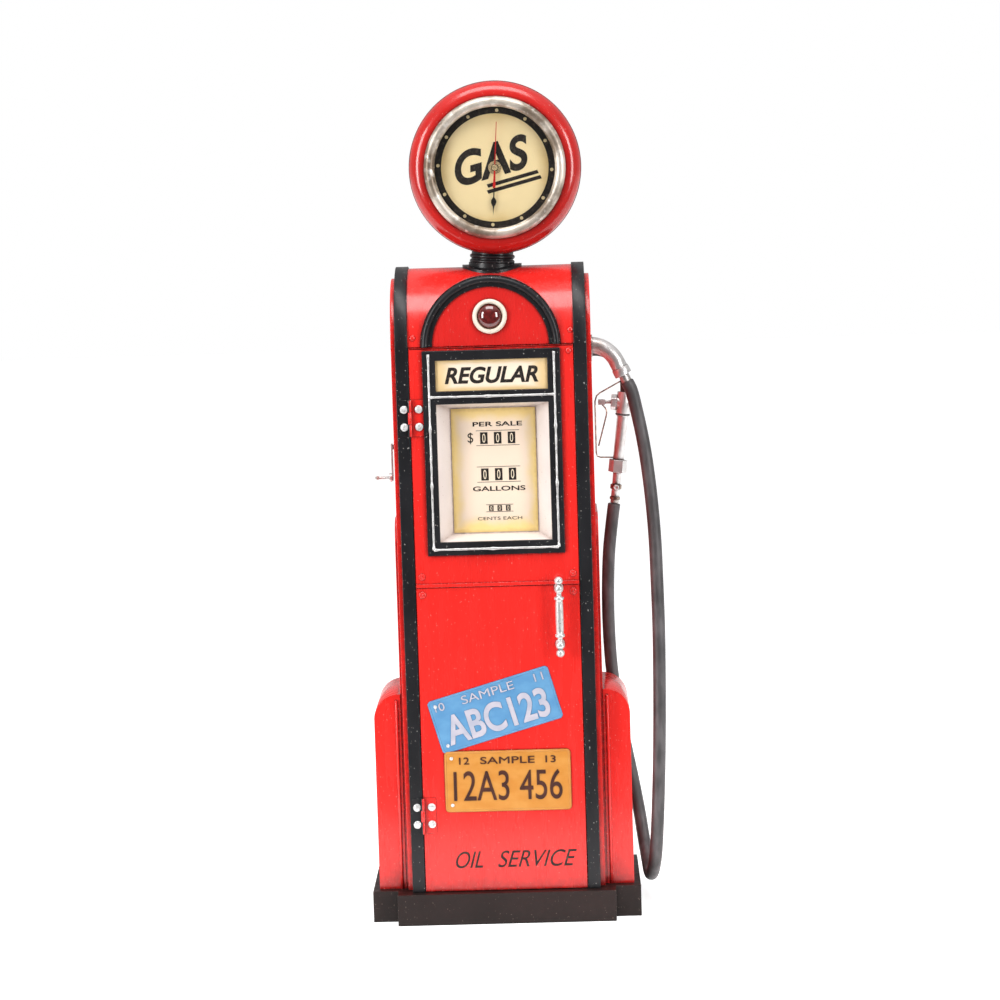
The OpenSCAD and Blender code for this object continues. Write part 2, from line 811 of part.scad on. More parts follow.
module plate_upper() {
    color("#5aa9dc") rounded_plate(plate_a_at, [plate_w, plate_a_h], plate_corner, door_y, plate_t, plate_tilt);
}

module plate_lower() {
    color("#c8862c") rounded_plate(plate_b_at, [plate_w, plate_b_h], plate_corner,
        door_y - plate_t - 0.1, plate_t, 0);
}

module door_handle() {
    s = handle_span / 2;
    color(silver) {
        translate([handle_x, handle_y, handle_z]) {
            cylinder(r = handle_r, h = 2 * s - 18, center = true);
            for (m = [-1, 1]) {
                translate([0, 0, m * (s - 9.5)]) cylinder(r = handle_r + 1, h = 2.4, center = true);
                translate([0, 0, m * (s - 5)]) cylinder(r = 2.6, h = 9, center = true);
                translate([0, 0, m * s]) sphere(4.6);
                translate([0, 0, m * (s + 5)]) cylinder(r = 2.2, h = 6, center = true);
                translate([0, 0, m * (s + 8)]) sphere(4.2);
            }
        }
        for (m = [-1, 1]) translate([handle_x, door_y, handle_z + m * s]) {
            rotate([90, 0, 0]) cylinder(r = 2.4, h = handle_out);
            rotate([90, 0, 0]) cylinder(r = 2.8, h = 1.6);
            translate([0, sheet, 0]) rotate([-90, 0, 0]) cylinder(r = 3, h = 2.4, $fn = 6);
            rotate([-90, 0, 0]) cylinder(r = 1.5, h = sheet + 3.6);
        }
    }
}

// ---------- neck and globe ----------

// Everything above the roof leans a little about the foot of the neck.
module on_neck() {
    translate([neck_x, 0, crown_z]) rotate([0, globe_lean, 0]) children();
}

// A turned piece of the globe: its axis is the globe's, height counts to the front.
module globe_turned() {
    on_neck() translate([0, 0, globe_up]) rotate([90, 0, 0]) children();
}

flange_t = 2.4;
neck_bolt_r = 3;
nut_h = 5;
module neck_flange() {
    color(black) difference() {
        intersection() {
            translate([neck_x, 0, crown_z - 12]) cylinder(r = neck_flange_r, h = 30);
            translate([-half_w, 0, seam_z]) rotate([0, 90, 0]) cylinder(r = roof_r + flange_t, h = body_w, $fn = 128);
        }
        translate([-half_w, 0, seam_z]) rotate([0, 90, 0]) cylinder(r = roof_r, h = body_w, $fn = 128);
        translate([neck_x, 0, crown_z - 20]) cylinder(r = neck_bolt_r + 1, h = 40);
        facing_front([0, 0, seam_z]) cylinder(r = arch_r, h = roof_r, $fn = 128);
    }
}

module neck_collar() {
    top = globe_up - globe_r + 6;
    color(black) difference() {
        on_neck() difference() {
            union() {
                cylinder(r = neck_r - 1.5, h = top);
                for (z = [5, 10]) translate([0, 0, z]) rotate_extrude() translate([neck_r - 2, 0]) circle(2.2, $fn = 32);
                translate([0, 0, -4]) cylinder(r = neck_r + 1, h = 7.5);
            }
            translate([0, 0, -10]) cylinder(r = neck_r - 4, h = globe_up);
        }
        globe_turned() cylinder(r = globe_r + free, h = 2 * globe_front + 20, center = true, $fn = 128);
        translate([-half_w, 0, seam_z]) rotate([0, 90, 0]) cylinder(r = roof_r + flange_t, h = body_w, $fn = 128);
    }
}

module neck_bolt() {
    color(silver) on_neck() {
        translate([0, 0, -14]) cylinder(r = neck_bolt_r, h = globe_up - drum_r + 22);
        translate([0, 0, -sheet - 0.7 - nut_h]) cylinder(r = 6.5, h = nut_h, $fn = 6);
        translate([0, 0, globe_up - drum_r + sheet + 0.5]) cylinder(r = 6.5, h = nut_h, $fn = 6);
    }
}

module rim_tube_solid(r) {
    rotate_extrude($fn = 128) translate([rim_r, 0]) circle(r, $fn = 48);
}

module globe_drum() {
    color(red) difference() {
        globe_turned() difference() {
            cylinder(r = drum_r, h = rim_pitch, center = true, $fn = 128);
            cylinder(r = drum_r - sheet, h = rim_pitch + e, center = true, $fn = 128);
            for (m = [-1, 1]) translate([0, 0, m * rim_y]) rim_tube_solid(rim_tube);
        }
        on_neck() cylinder(r = neck_bolt_r + 0.4, h = globe_up - drum_r + 10);
    }
}

// One spun rim: a tube bent into a ring and open towards the inside of the globe.
module globe_rim(mouth) {
    rotate_extrude($fn = 128) difference() {
        translate([rim_r, 0]) circle(rim_tube, $fn = 64);
        translate([rim_r, 0]) circle(rim_tube - sheet, $fn = 64);
        translate([0, -rim_tube - e]) square([mouth, 2 * rim_tube + 2 * e]);
        translate([0, -rim_tube - e]) square([rim_r, rim_tube + e]);
    }
}

module globe_rims() {
    color(red) globe_turned() {
        translate([0, 0, rim_y]) globe_rim(rim_mouth);
        translate([0, 0, -rim_y]) mirror([0, 0, 1]) globe_rim(rim_mouth);
    }
}

module globe_back_cover() {
    color(red) globe_turned() translate([0, 0, -globe_front]) mirror([0, 0, 1]) {
        cylinder(r = rim_r, h = 1.5);
        for (a = [45:90:315]) rotate(a) translate([rim_r - 6, 0, 1.5]) dome(5, 1.8);
    }
}

// ---------- clock ----------

module clock_bezel() {
    h = globe_front;
    color(silver) globe_turned() rotate_extrude($fn = 128) {
        translate([bezel_in, h]) square([bezel_w, 1.5]);
        intersection() {
            translate([bezel_in + bezel_w / 2, h + 1.5]) circle(bezel_w / 2, $fn = 48);
            translate([bezel_in, h]) square([bezel_w, bezel_w]);
        }
        translate([dial_r, h - 14]) square([rim_mouth - fit - dial_r, 14.5]);
    }
}

module clock_glass() {
    color([0.9, 0.95, 1, 0.3]) globe_turned() translate([0, 0, -glass_y])
        cylinder(r = dial_r - fit / 2, h = 1.4, $fn = 128);
}

module clock_dial() {
    color(cream) globe_turned() translate([0, 0, -dial_y - 1]) difference() {
        cylinder(r = dial_r - fit / 2, h = 1, $fn = 128);
        translate([0, 0, -e]) cylinder(r = bushing_r + 0.1, h = 3);
    }
}

module clock_movement() {
    front = -dial_y - 1;
    color("#2b2b2e") globe_turned() difference() {
        union() {
            translate([-movement_w / 2, -movement_w / 2, front - movement_t])
                cube([movement_w, movement_w, movement_t]);
            translate([0, 0, front - e]) cylinder(r = bushing_r, h = e + 2.4);
        }
        translate([0, 0, front - 12]) cylinder(r = tube_hour + run, h = 20);
        translate([-26, -17, front - movement_t]) rotate([0, 90, 0]) cylinder(r = battery_r + 0.4, h = 52);
    }
    color("#b48a3a") globe_turned() translate([-25, -17, front - movement_t]) rotate([0, 90, 0])
        cylinder(r = battery_r, h = 50);
    color("#c9a24a") globe_turned() translate([0, 0, -dial_y]) difference() {
        cylinder(r = 6.5, h = 1.2);
        translate([0, 0, -e]) cylinder(r = bushing_r + 0.02, h = 4);
    }
}

hand_t = 0.5;
// One clock hand: a blade that points along +Y of its own plane, on a hub and a shaft.
module clock_hand(h, shaft, bore, depth) {
    globe_turned() translate([0, 0, -dial_y + h]) difference() {
        union() {
            linear_extrude(hand_t) {
                circle(max(shaft + 1.4, 3));
                children();
            }
            translate([0, 0, -depth]) cylinder(r = shaft, h = depth + hand_t);
        }
        translate([0, 0, -depth - e]) cylinder(r = bore, h = bore > 0 ? depth + hand_t + 2 * e : 0.001);
    }
}

module hour_hand() {
    color(black) clock_hand(1.6, tube_hour, tube_minute + run, 7) {
        polygon([[-0.6, 0], [0.6, 0], [0.6, 0.55 * hour_len], [3, 0.62 * hour_len], [3.4, 0.7 * hour_len],
            [1.2, 0.8 * hour_len], [0, hour_len], [-1.2, 0.8 * hour_len], [-3.4, 0.7 * hour_len],
            [-3, 0.62 * hour_len], [-0.6, 0.55 * hour_len]]);
    }
}

module minute_hand() {
    color(black) clock_hand(2.5, tube_minute, pin_second + run, 9) {
        rotate(180) polygon([[-0.6, 0], [0.6, 0], [0.6, 0.62 * minute_len], [2.6, 0.69 * minute_len],
            [2.6, 0.74 * minute_len], [0.8, 0.82 * minute_len], [0, minute_len],
            [-0.8, 0.82 * minute_len], [-2.6, 0.74 * minute_len], [-2.6, 0.69 * minute_len],
            [-0.6, 0.62 * minute_len]]);
    }
}

module second_hand() {
    color(red) clock_hand(3.5, pin_second, 0, 11) {
        polygon([[-0.5, 0], [0.5, 0], [0.35, second_len], [-0.35, second_len]]);
        rotate(180) polygon([[-0.6, 0], [0.6, 0], [1.4, 20], [-1.4, 20]]);
    }
}

// ---------- outlet and hose ----------

// The elbow starts in the side wall and turns down; its tail's frame has +Z along the pipe.
module elbow_start() {
    translate([panel_x - 1.7, -outlet_y, outlet_z]) children();
}

module elbow_end() {
    elbow_start() translate([elbow_bend * sin(elbow_turn), 0, -elbow_bend * (1 - cos(elbow_turn))])
        rotate([0, 90 + elbow_turn, 0]) children();
}

module outlet_elbow() {
    color(silver) {
        elbow_start() translate([0, 0, -elbow_bend]) rotate([90, 0, 0]) rotate([0, 0, 90 - elbow_turn])
            rotate_extrude(angle = elbow_turn) translate([elbow_bend, 0]) difference() {
                circle(elbow_r);
                circle(elbow_r - elbow_wall);
            }
        elbow_start() translate([-12, 0, 0]) rotate([0, 90, 0]) difference() {
            cylinder(r = elbow_r, h = 12);
            translate([0, 0, -e]) cylinder(r = elbow_r - elbow_wall, h = 12 + 2 * e);
        }
        translate([panel_x, -outlet_y, outlet_z]) rotate([0, 90, 0]) difference() {
            cylinder(r = elbow_r + 2.2, h = 1.6);
            translate([0, 0, -e]) cylinder(r = elbow_r - elbow_wall / 2, h = 1.6 + 2 * e);
        }
        elbow_end() difference() {
            cylinder(r = elbow_r, h = 7.5);
            translate([0, 0, -e]) cylinder(r = elbow_r - elbow_wall, h = 7.5 + 2 * e);
        }
    }
}

module elbow_collar() {
    color(silver) elbow_end() translate([0, 0, 7.5]) {
        difference() {
            union() {
                cylinder(r = elbow_r + 0.8, h = collar_len);
                cylinder(r = tail_r, h = collar_len + tail_len + tail_grip);
            }
            translate([0, 0, -e]) cylinder(r = tail_r - 1.2, h = collar_len + tail_len + 10);
        }
    }
}

function unit(v) = v / norm(v);
function heading(p, i) = unit(p[min(i + 1, len(p) - 1)] - p[max(i - 1, 0)]);
function ring(p, i, r, n, side) =
    let (t = heading(p, i), u = unit(cross(t, side)), v = cross(t, u))
    [for (k = [0:n - 1]) p[i] + r * (cos(360 * k / n) * u + sin(360 * k / n) * v)];

// A round tube through the points p; side is a direction that the tube never takes.
module swept_tube(p, r, n, side) {
    last = len(p) - 1;
    points = [for (i = [0:last]) each ring(p, i, r, n, side)];
    sides = [for (i = [0:last - 1], k = [0:n - 1])
        [(i + 1) * n + k, (i + 1) * n + (k + 1) % n, i * n + (k + 1) % n, i * n + k]];
    first_cap = [for (k = [0:n - 1]) k];
    last_cap = [for (k = [n - 1:-1:0]) last * n + k];
    polyhedron(points, concat([first_cap], sides, [last_cap]), convexity = 10);
}

module hose() {
    color("#232325") swept_tube(hose_route, hose_r, hose_sides, [1, 0, 0]);
}

// ---------- nozzle ----------

// The nozzle's own frame: +Z runs up its axis from the end of the hose.
module on_nozzle() {
    translate(nozzle_at) rotate([0, nozzle_lean, 0]) children();
}

pipe_r = 4.4;
module nozzle_grip() {
    color(silver) on_nozzle() difference() {
        union() {
            translate([0, 0, 0.2]) cylinder(r = pipe_r, h = grip_s[0] - 0.2);
            translate([0, 0, grip_s[0]]) cylinder(r = grip_r, h = grip_s[1] - grip_s[0]);
            translate([0, 0, grip_s[1]]) cylinder(r = grip_r + 0.8, h = valve_s[0] - grip_s[1]);
        }
        translate([0, 0, -e]) cylinder(r = pipe_r - 1.2, h = valve_s[0] + 2 * e);
    }
}

module nozzle_nuts() {
    color(silver) on_nozzle() {
        translate([0, 0, nut_s[0]]) difference() {
            cylinder(r = 9.5, h = nut_s[1] - nut_s[0], $fn = 6);
            translate([0, 0, -e]) cylinder(r = pipe_r + 0.02, h = 20);
        }
        translate([-7.5, 0, cross_s]) rotate([0, -90, 0]) difference() {
            cylinder(r = 8.4, h = 5.5, $fn = 6);
            translate([0, 0, -e]) cylinder(r = 2.5, h = 10);
        }
    }
}

module nozzle_clamps() {
    color(silver) on_nozzle() {
        for (c = [[17, 4.6, 1.5], [5.2, 2.6, 1]]) translate([0, 0, c[0]]) difference() {
            cylinder(r = pipe_r + c[2], h = c[1], center = true);
            cylinder(r = pipe_r + 0.02, h = c[1] + e, center = true);
        }
        translate([0, -pipe_r - 1.2, 17]) rotate([90, 0, 0]) cylinder(r = 3.2, h = 3.2);
        translate([0, -pipe_r - 0.6, 5.2]) rotate([90, 0, 0]) cylinder(r = 1.8, h = 2.4);
    }
}

module nozzle_valve() {
    color(silver) {
        on_nozzle() {
            translate([0, 0, valve_s[0]]) cylinder(r = 7.4, h = valve_s[1] - valve_s[0]);
            translate([-7.5, 0, cross_s]) rotate([0, 90, 0]) cylinder(r = 6.6, h = 21);
            translate([13.5, 0, cross_s]) rotate([0, 90, 0]) cylinder(r = 3, h = 4.5);
        }
        stem = nozzle_at + cross_s * [sin(nozzle_lean), 0, cos(nozzle_lean)] - 6 * [1, 0, 0];
        bar([trigger_at[0] + 3.6, trigger_at[1], trigger_at[2]], [stem[0], stem[1], trigger_at[2]], 2);
        for (s = [-1, 1]) block([trigger_at[0] - 2, trigger_at[1] + s * 3.2 - 0.7, trigger_at[2] - 2.6],
            [trigger_at[0] + 5, trigger_at[1] + s * 3.2 + 0.7, trigger_at[2] + 2.6]);
        block([trigger_at[0] + 3, trigger_at[1] - 3.9, trigger_at[2] - 0.5],
            [trigger_at[0] + 5, trigger_at[1] + 3.9, trigger_at[2] + 2.6]);
        translate([trigger_at[0], trigger_at[1] + 4.5, trigger_at[2]]) rotate([90, 0, 0]) cylinder(r = 1, h = 9);
    }
}

module nozzle_spout() {
    color("#2a2a2c") {
        difference() {
            translate(valve_top - [0, 0, 3]) cylinder(r = spout_r, h = spout_at[2] - valve_top[2] + 3);
            on_nozzle() block([-20, -20, valve_s[1] - 20], [20, 20, valve_s[1]]);
        }
        translate([spout_at[0] - spout_bend, spout_at[1], spout_at[2]]) rotate([90, 0, 0])
            rotate_extrude(angle = 90) translate([spout_bend, 0]) circle(spout_r);
        translate([boot_x - spout_in, spout_at[1], spout_z]) rotate([0, 90, 0])
            cylinder(r = spout_r, h = spout_at[0] - spout_bend - boot_x + spout_in);
    }
}

boot_flange = 2.5;
module nozzle_boot() {
    color(silver) translate([boot_x, spout_at[1], spout_z]) rotate([0, 90, 0]) difference() {
        union() {
            cylinder(r = boot_r + boot_wall + 3, h = boot_flange);
            translate([0, 0, -spout_in - 3]) cylinder(r = boot_r + boot_wall, h = spout_in + 3 + boot_flange);
        }
        translate([0, 0, -spout_in - 1.5]) cylinder(r = boot_r, h = spout_in + 10);
    }
}

module trigger_guard() {
    color(silver) swept_tube(guard_route, guard_wire_r, 8, [0, 1, 0]);
}

module nozzle_trigger() {
    color(silver) difference() {
        union() {
            swept_tube(trigger_route, 0.8, 8, [0, 1, 0]);
            translate([trigger_at[0], trigger_at[1] + 1.8, trigger_at[2]]) rotate([90, 0, 0])
                cylinder(r = 2.3, h = 3.6);
        }
        translate([trigger_at[0], trigger_at[1] + 5, trigger_at[2]]) rotate([90, 0, 0])
            cylinder(r = 1 + run, h = 10);
    }
}

// ---------- crank ----------

module crank_bearing() {
    color(silver) translate([-panel_x, 0, crank_z]) rotate([0, -90, 0]) difference() {
        union() {
            cylinder(r = 7, h = 2);
            translate([0, 0, -panel_out - sheet - 4]) cylinder(r = crank_shaft_r + 2, h = panel_out + sheet + 7);
        }
        translate([0, 0, -panel_out - sheet - 5]) cylinder(r = crank_shaft_r + run, h = panel_out + sheet + 10);
    }
}

module reset_crank() {
    tip = crank_z - crank_len;
    inner = panel_out + sheet + 8;
    color(silver) {
        translate([-panel_x + inner, 0, crank_z]) rotate([0, -90, 0]) cylinder(r = crank_shaft_r, h = inner + 6.2);
        translate([-panel_x + inner, 0, crank_z]) rotate([0, -90, 0]) cylinder(r = 5, h = 3.4);
        difference() {
            block([crank_arm_x - crank_arm_t, -3.5, tip - 3], [crank_arm_x, 3.5, crank_z + 3.5]);
            block([crank_arm_x - 5, -10, crank_z + 3.4], [crank_arm_x + 5, 10, crank_z + 10]);
        }
        translate([crank_arm_x - crank_arm_t - 3, 0, tip]) rotate([0, 90, 0]) cylinder(r = 4.4, h = 3);
        translate([crank_arm_x - crank_arm_t - 15, 0, tip]) rotate([0, 90, 0]) cylinder(r = 1.5, h = 15);
        translate([crank_arm_x - crank_arm_t - 15, 0, tip]) sphere(2.1, $fn = 32);
    }
}

plinth_shell();
plinth_board();
side_wall_left();
side_wall_right();
back_panel();
cabinet_floor();
roof_sheet();
door_header();
arch_housing();
arch_moulding();
lamp_bezel();
lamp_lens();
trim_bands();
side_panel_left();
side_panel_right();
fender_left();
fender_right();
shelf_ledges();
shelves();
catch_magnet();
body_hinges();
body_rivets();
door_panel();
door_seam_strip();
window_frame();
window_piping();
printed_cards();
shadow_box();
plate_upper();
plate_lower();
door_handle();
door_hinges();
door_rivets();
catch_strike();
neck_flange();
neck_collar();
neck_bolt();
globe_drum();
globe_rims();
globe_back_cover();
clock_bezel();
clock_glass();
clock_dial();
clock_movement();
hour_hand();
minute_hand();
second_hand();
outlet_elbow();
elbow_collar();
hose();
nozzle_boot();
nozzle_valve();
nozzle_spout();
nozzle_grip();
nozzle_nuts();
nozzle_clamps();
trigger_guard();
nozzle_trigger();
crank_bearing();
reset_crank();
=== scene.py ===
"""A gas pump cabinet of painted sheet metal: a clock in its globe, shelves behind one long door,
a hose with a hanging nozzle and a small reset crank. Metres, in the frame of the CAD model."""

import json
import math

import bmesh
import bpy
from mathutils import Matrix, Vector, noise


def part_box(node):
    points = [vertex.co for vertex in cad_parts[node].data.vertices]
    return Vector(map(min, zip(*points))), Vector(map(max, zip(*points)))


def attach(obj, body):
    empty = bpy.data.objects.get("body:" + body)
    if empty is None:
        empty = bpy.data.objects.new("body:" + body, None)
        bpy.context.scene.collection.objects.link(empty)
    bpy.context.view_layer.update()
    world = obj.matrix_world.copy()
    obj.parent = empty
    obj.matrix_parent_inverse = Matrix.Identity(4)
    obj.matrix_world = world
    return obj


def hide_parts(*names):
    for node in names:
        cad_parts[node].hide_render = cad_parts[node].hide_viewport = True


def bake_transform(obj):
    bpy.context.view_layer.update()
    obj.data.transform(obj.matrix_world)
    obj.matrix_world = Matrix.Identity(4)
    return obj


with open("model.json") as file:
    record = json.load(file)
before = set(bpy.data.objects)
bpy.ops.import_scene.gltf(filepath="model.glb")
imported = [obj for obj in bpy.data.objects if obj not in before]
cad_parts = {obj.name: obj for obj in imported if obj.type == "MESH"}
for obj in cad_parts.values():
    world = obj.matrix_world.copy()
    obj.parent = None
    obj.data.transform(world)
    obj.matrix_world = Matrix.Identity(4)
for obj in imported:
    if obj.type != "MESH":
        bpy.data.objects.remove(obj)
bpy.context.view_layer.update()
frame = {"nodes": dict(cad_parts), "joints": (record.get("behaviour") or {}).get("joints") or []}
nodes = frame["nodes"]
mm = 0.001


# ---------- Camera ----------
# A long lens looks at the front from a little above, and the camera is held slightly askew.
camera_place = Vector((0.0590, -3.0864, 0.766))
camera_turn = 0.018
camera_pitch = 0.113
camera_roll = 0.030

camera = bpy.data.objects.new("camera", bpy.data.cameras.new("camera"))
bpy.context.scene.collection.objects.link(camera)
bpy.context.scene.camera = camera
camera.data.sensor_width = 36
camera.data.lens = 110.7
camera.data.clip_end = 50
camera.matrix_world = (
    Matrix.Translation(camera_place)
    @ Matrix.Rotation(camera_turn, 4, "Z")
    @ Matrix.Rotation(math.pi / 2 - camera_pitch, 4, "X")
    @ Matrix.Rotation(-camera_roll, 4, "Z")
)


# ---------- Hose ----------
# A black rubber hose, 13 mm across, is pushed onto the outlet's collar. It hangs in a long loop
# beside the pump, turns just above the floor and climbs to the foot of the nozzle.
hose_radius = 6.5 * mm
hose_route = [
    Vector(point) * mm
    for point in (
        (134, -25, 534), (138.5, -25, 524), (143, -25, 504), (148, -25.5, 478), (152, -26, 450),
        (155.5, -27, 415), (158, -28, 375), (159, -30, 330), (159.5, -32, 285), (159, -34, 240),
        (158, -36, 195), (156.5, -38, 150), (154.5, -40, 110), (152.5, -40, 77), (150.5, -33, 51),
        (148, -14, 32), (146, 12, 25), (144.5, 38, 32), (141.5, 57, 51), (138, 64, 77),
        (132.5, 64, 110), (125, 63, 150), (118, 62, 190), (113, 61, 230), (111, 60, 270),
        (111, 60, 310), (113, 60, 350), (116.5, 60, 380), (119.7, 60, 402),
    )
]


def link(piece):
    """Puts a new object into the scene."""
    bpy.context.scene.collection.objects.link(piece)
    return piece


def mesh_piece(name, points, faces, smooth=True):
    """A new object from points and faces, with its normals turned outwards."""
    mesh = bpy.data.meshes.new(name)
    mesh.from_pydata([tuple(p) for p in points], [], faces)
    shape = bmesh.new()
    shape.from_mesh(mesh)
    bmesh.ops.recalc_face_normals(shape, faces=shape.faces)
    shape.to_mesh(mesh)
    shape.free()
    if smooth:
        mesh.shade_smooth()
    return link(bpy.data.objects.new(name, mesh))


def smooth_path(route, steps):
    """A finer path on a smooth curve through the points of a route."""
    path = []
    for i in range(len(route) - 1):
        before = route[max(i - 1, 0)]
        after = route[min(i + 2, len(route) - 1)]
        for step in range(steps):
            t = step / steps
            path.append(
                0.5 * ((2 * route[i]) + (route[i + 1] - before) * t
                + (2 * before - 5 * route[i] + 4 * route[i + 1] - after) * t ** 2
                + (3 * route[i] - before - 3 * route[i + 1] + after) * t ** 3)
            )
    return path + [route[-1].copy()]


def tube(name, path, radius, sides=24, rounding=0.0):
    """A round tube along a path. radius is one number or one number for each point of the path."""
    radii = radius if isinstance(radius, list) else [radius] * len(path)
    if rounding:
        first, last = (path[1] - path[0]).normalized(), (path[-1] - path[-2]).normalized()
        path = [
            path[0], path[0] + first * rounding, *path[1:-1], path[-1] - last * rounding, path[-1]
        ]
        radii = [radii[0] - rounding] + radii + [radii[-1] - rounding]
    points, faces = [], []
    side = Vector((0, 0, 1)) if abs((path[1] - path[0]).normalized().z) < 0.9 else Vector((1, 0, 0))
    for i, place in enumerate(path):
        heading = (path[min(i + 1, len(path) - 1)] - path[max(i - 1, 0)]).normalized()
        side = (side - heading * side.dot(heading)).normalized()
        other = heading.cross(side)
        for k in range(sides):
            angle = 2 * math.pi * k / sides
            points.append(place + radii[i] * (math.cos(angle) * side + math.sin(angle) * other))
    for i in range(len(path) - 1):
        for k in range(sides):
            j = (k + 1) % sides
            faces.append((i * sides + k, i * sides + j, (i + 1) * sides + j, (i + 1) * sides + k))
    faces.append(tuple(range(sides)))
    faces.append(tuple((len(path) - 1) * sides + k for k in range(sides)))
    return mesh_piece(name, points, faces)


class Graph:
    """Adds nodes to the tree of a material or of a node group, and links them."""

    def __init__(self, tree):
        self.tree = tree

    def node(self, kind, inputs=None, **settings):
        made = self.tree.nodes.new("ShaderNode" + kind)
        for key, value in settings.items():
            setattr(made, key, value)
        for key, value in (inputs or {}).items():
            if isinstance(value, bpy.types.NodeSocket):
                self.tree.links.new(value, made.inputs[key])
            else:
                made.inputs[key].default_value = value
        return made

    def maths(self, operation, a, b=0.0):
        return self.node("Math", {0: a, 1: b}, operation=operation).outputs[0]

    def times(self, a, b):
        return self.maths("MULTIPLY", a, b)

    def span(self, value, low, high, start=0.0, end=1.0):
        """Start where value is low, end where it is high, and a smooth change between them."""
        inputs = {"Value": value, "From Min": low, "From Max": high, "To Min": start, "To Max": end}
        return self.node("MapRange", inputs, interpolation_type="SMOOTHSTEP").outputs["Result"]

    def mix(self, share, a, b, blend="MIX"):
        made = self.node("Mix", {0: share, 6: a, 7: b}, data_type="RGBA", blend_type=blend)
        return made.outputs[2]

    def feed(self, label, socket):
        """Links a socket to the material's shader."""
        self.tree.links.new(socket, self.shader.inputs[label])

    def tint(self, share, a, b):
        """Feeds a mix of two colours to the shader as its base colour."""
        self.feed("Base Color", self.mix(share, a, b))

    def place(self, stretch=(1, 1, 1)):
        """Coordinates fixed to the piece, stretched along X, Y and Z."""
        inputs = {0: self.node("TexCoord").outputs["Object"], 1: stretch}
        return self.node("VectorMath", inputs, operation="MULTIPLY").outputs[0]

    def noise(self, scale, detail=3.0, stretch=(1, 1, 1)):
        inputs = {"Vector": self.place(stretch), "Scale": scale, "Detail": detail}
        return self.node("TexNoise", inputs).outputs["Fac"]


def effect(name, inputs, outputs):
    """A new node group: its graph, its input sockets and the node that takes its outputs."""
    tree = bpy.data.node_groups.new(name, "ShaderNodeTree")
    for label, (kind, value) in inputs.items():
        socket = tree.interface.new_socket(label, in_out="INPUT", socket_type="NodeSocket" + kind)
        socket.default_value = value
    for label, kind in outputs.items():
        tree.interface.new_socket(label, in_out="OUTPUT", socket_type="NodeSocket" + kind)
    return Graph(tree), tree.nodes.new("NodeGroupInput").outputs, tree.nodes.new("NodeGroupOutput")


def give_out(graph, end, **values):
    """Links sockets to the outputs of a node group."""
    for label, socket in values.items():
        graph.tree.links.new(socket, end.inputs[label])


def material(name, **sockets):
    """A new material and its graph, with plain values on the shader's own sockets."""
    made = bpy.data.materials.new(name)
    made.use_nodes = True
    graph = Graph(made.node_tree)
    graph.shader = made.node_tree.nodes["Principled BSDF"]
    for label, value in sockets.items():
        graph.shader.inputs[label.replace("_", " ")].default_value = value
    return made, graph


def use(graph, group, inputs):
    """Places a node group in a material."""
    return graph.node("Group", inputs, node_tree=group.tree).outputs


def finish_with(piece, made):
    """Gives a piece one material."""
    piece.data.materials.clear()
    piece.data.materials.append(made)


# Fine grain that every rubbed or painted surface here has in some degree.
grain, grain_in, grain_end = effect(
    "grain",
    {
        "Scale": ("Float", 900.0), "Stretch": ("Vector", (1, 1, 1)),
        "Low": ("Float", 0.0), "High": ("Float", 1.0),
    },
    {"Value": "Float", "Height": "Float"},
)
grain_place = grain.node(
    "VectorMath",
    {0: grain.node("TexCoord").outputs["Object"], 1: grain_in["Stretch"]},
    operation="MULTIPLY",
).outputs[0]
grain_noise = grain.node(
    "TexNoise", {"Vector": grain_place, "Scale": grain_in["Scale"], "Detail": 4.0}
).outputs["Fac"]
grain_value = grain.node(
    "MapRange",
    {
        "Value": grain_noise, "From Min": 0.3, "From Max": 0.7,
        "To Min": grain_in["Low"], "To Max": grain_in["High"],
    },
).outputs[0]
give_out(grain, grain_end, Value=grain_value, Height=grain_noise)


def roughen(graph, scale, low, high, relief=0.0, stretch=(1, 1, 1)):
    """Grain in the roughness, between low and high, and in the normal where relief isn't zero."""
    fine = use(graph, grain, {"Scale": scale, "Stretch": stretch, "Low": low, "High": high})
    graph.feed("Roughness", fine["Value"])
    if relief:
        inputs = {"Height": fine["Height"], "Strength": relief, "Distance": 0.0003}
        graph.feed("Normal", graph.node("Bump", inputs).outputs["Normal"])


rubber, graph = material("hose_rubber", Metallic=0.0, Specular_IOR_Level=0.5)
rubber_dust = graph.span(graph.noise(110, 5, (1, 1, 0.3)), 0.3, 0.75)
graph.tint(rubber_dust, (0.042, 0.039, 0.040, 1), (0.110, 0.100, 0.104, 1))
roughen(graph, 420, 0.38, 0.56, 0.12, stretch=(1, 1, 0.08))

hose_path = smooth_path(hose_route, 6)
hose = tube("rubber_hose", hose_path, hose_radius, 28, rounding=0.5 * mm)
finish_with(hose, rubber)
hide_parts("hose")
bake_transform(hose)


# ---------- Painted sheet metal ----------
# Most of the pump is thin sheet, painted by hand in glossy enamel. Corners, seams, edges and the foot
# of the walls are darkened with painted shade, and the paint has worn through in specks along the edges.
# Masks for the enamels. Corner, Shade and Foot mark painted shade: in corners, in wide hollows and at the
# foot of the walls. Edge marks the edges, for painted shade along them and for worn chips.
shade_and_wear, shade_and_wear_in, shade_and_wear_end = effect(
    "shade_and_wear",
    {"Edge Width": ("Float", 0.0008), "Corner Reach": ("Float", 0.008)},
    {
        "Edge": "Float", "Corner": "Float", "Shade": "Float", "Foot": "Float", "Patches": "Float",
        "Chips": "Float",
    },
)
rounded_normal = shade_and_wear.node("Bevel", {"Radius": shade_and_wear_in["Edge Width"]}, samples=6).outputs["Normal"]
true_normal = shade_and_wear.node("NewGeometry").outputs["Normal"]
straightness = shade_and_wear.node(
    "VectorMath", {0: rounded_normal, 1: true_normal}, operation="DOT_PRODUCT"
).outputs["Value"]
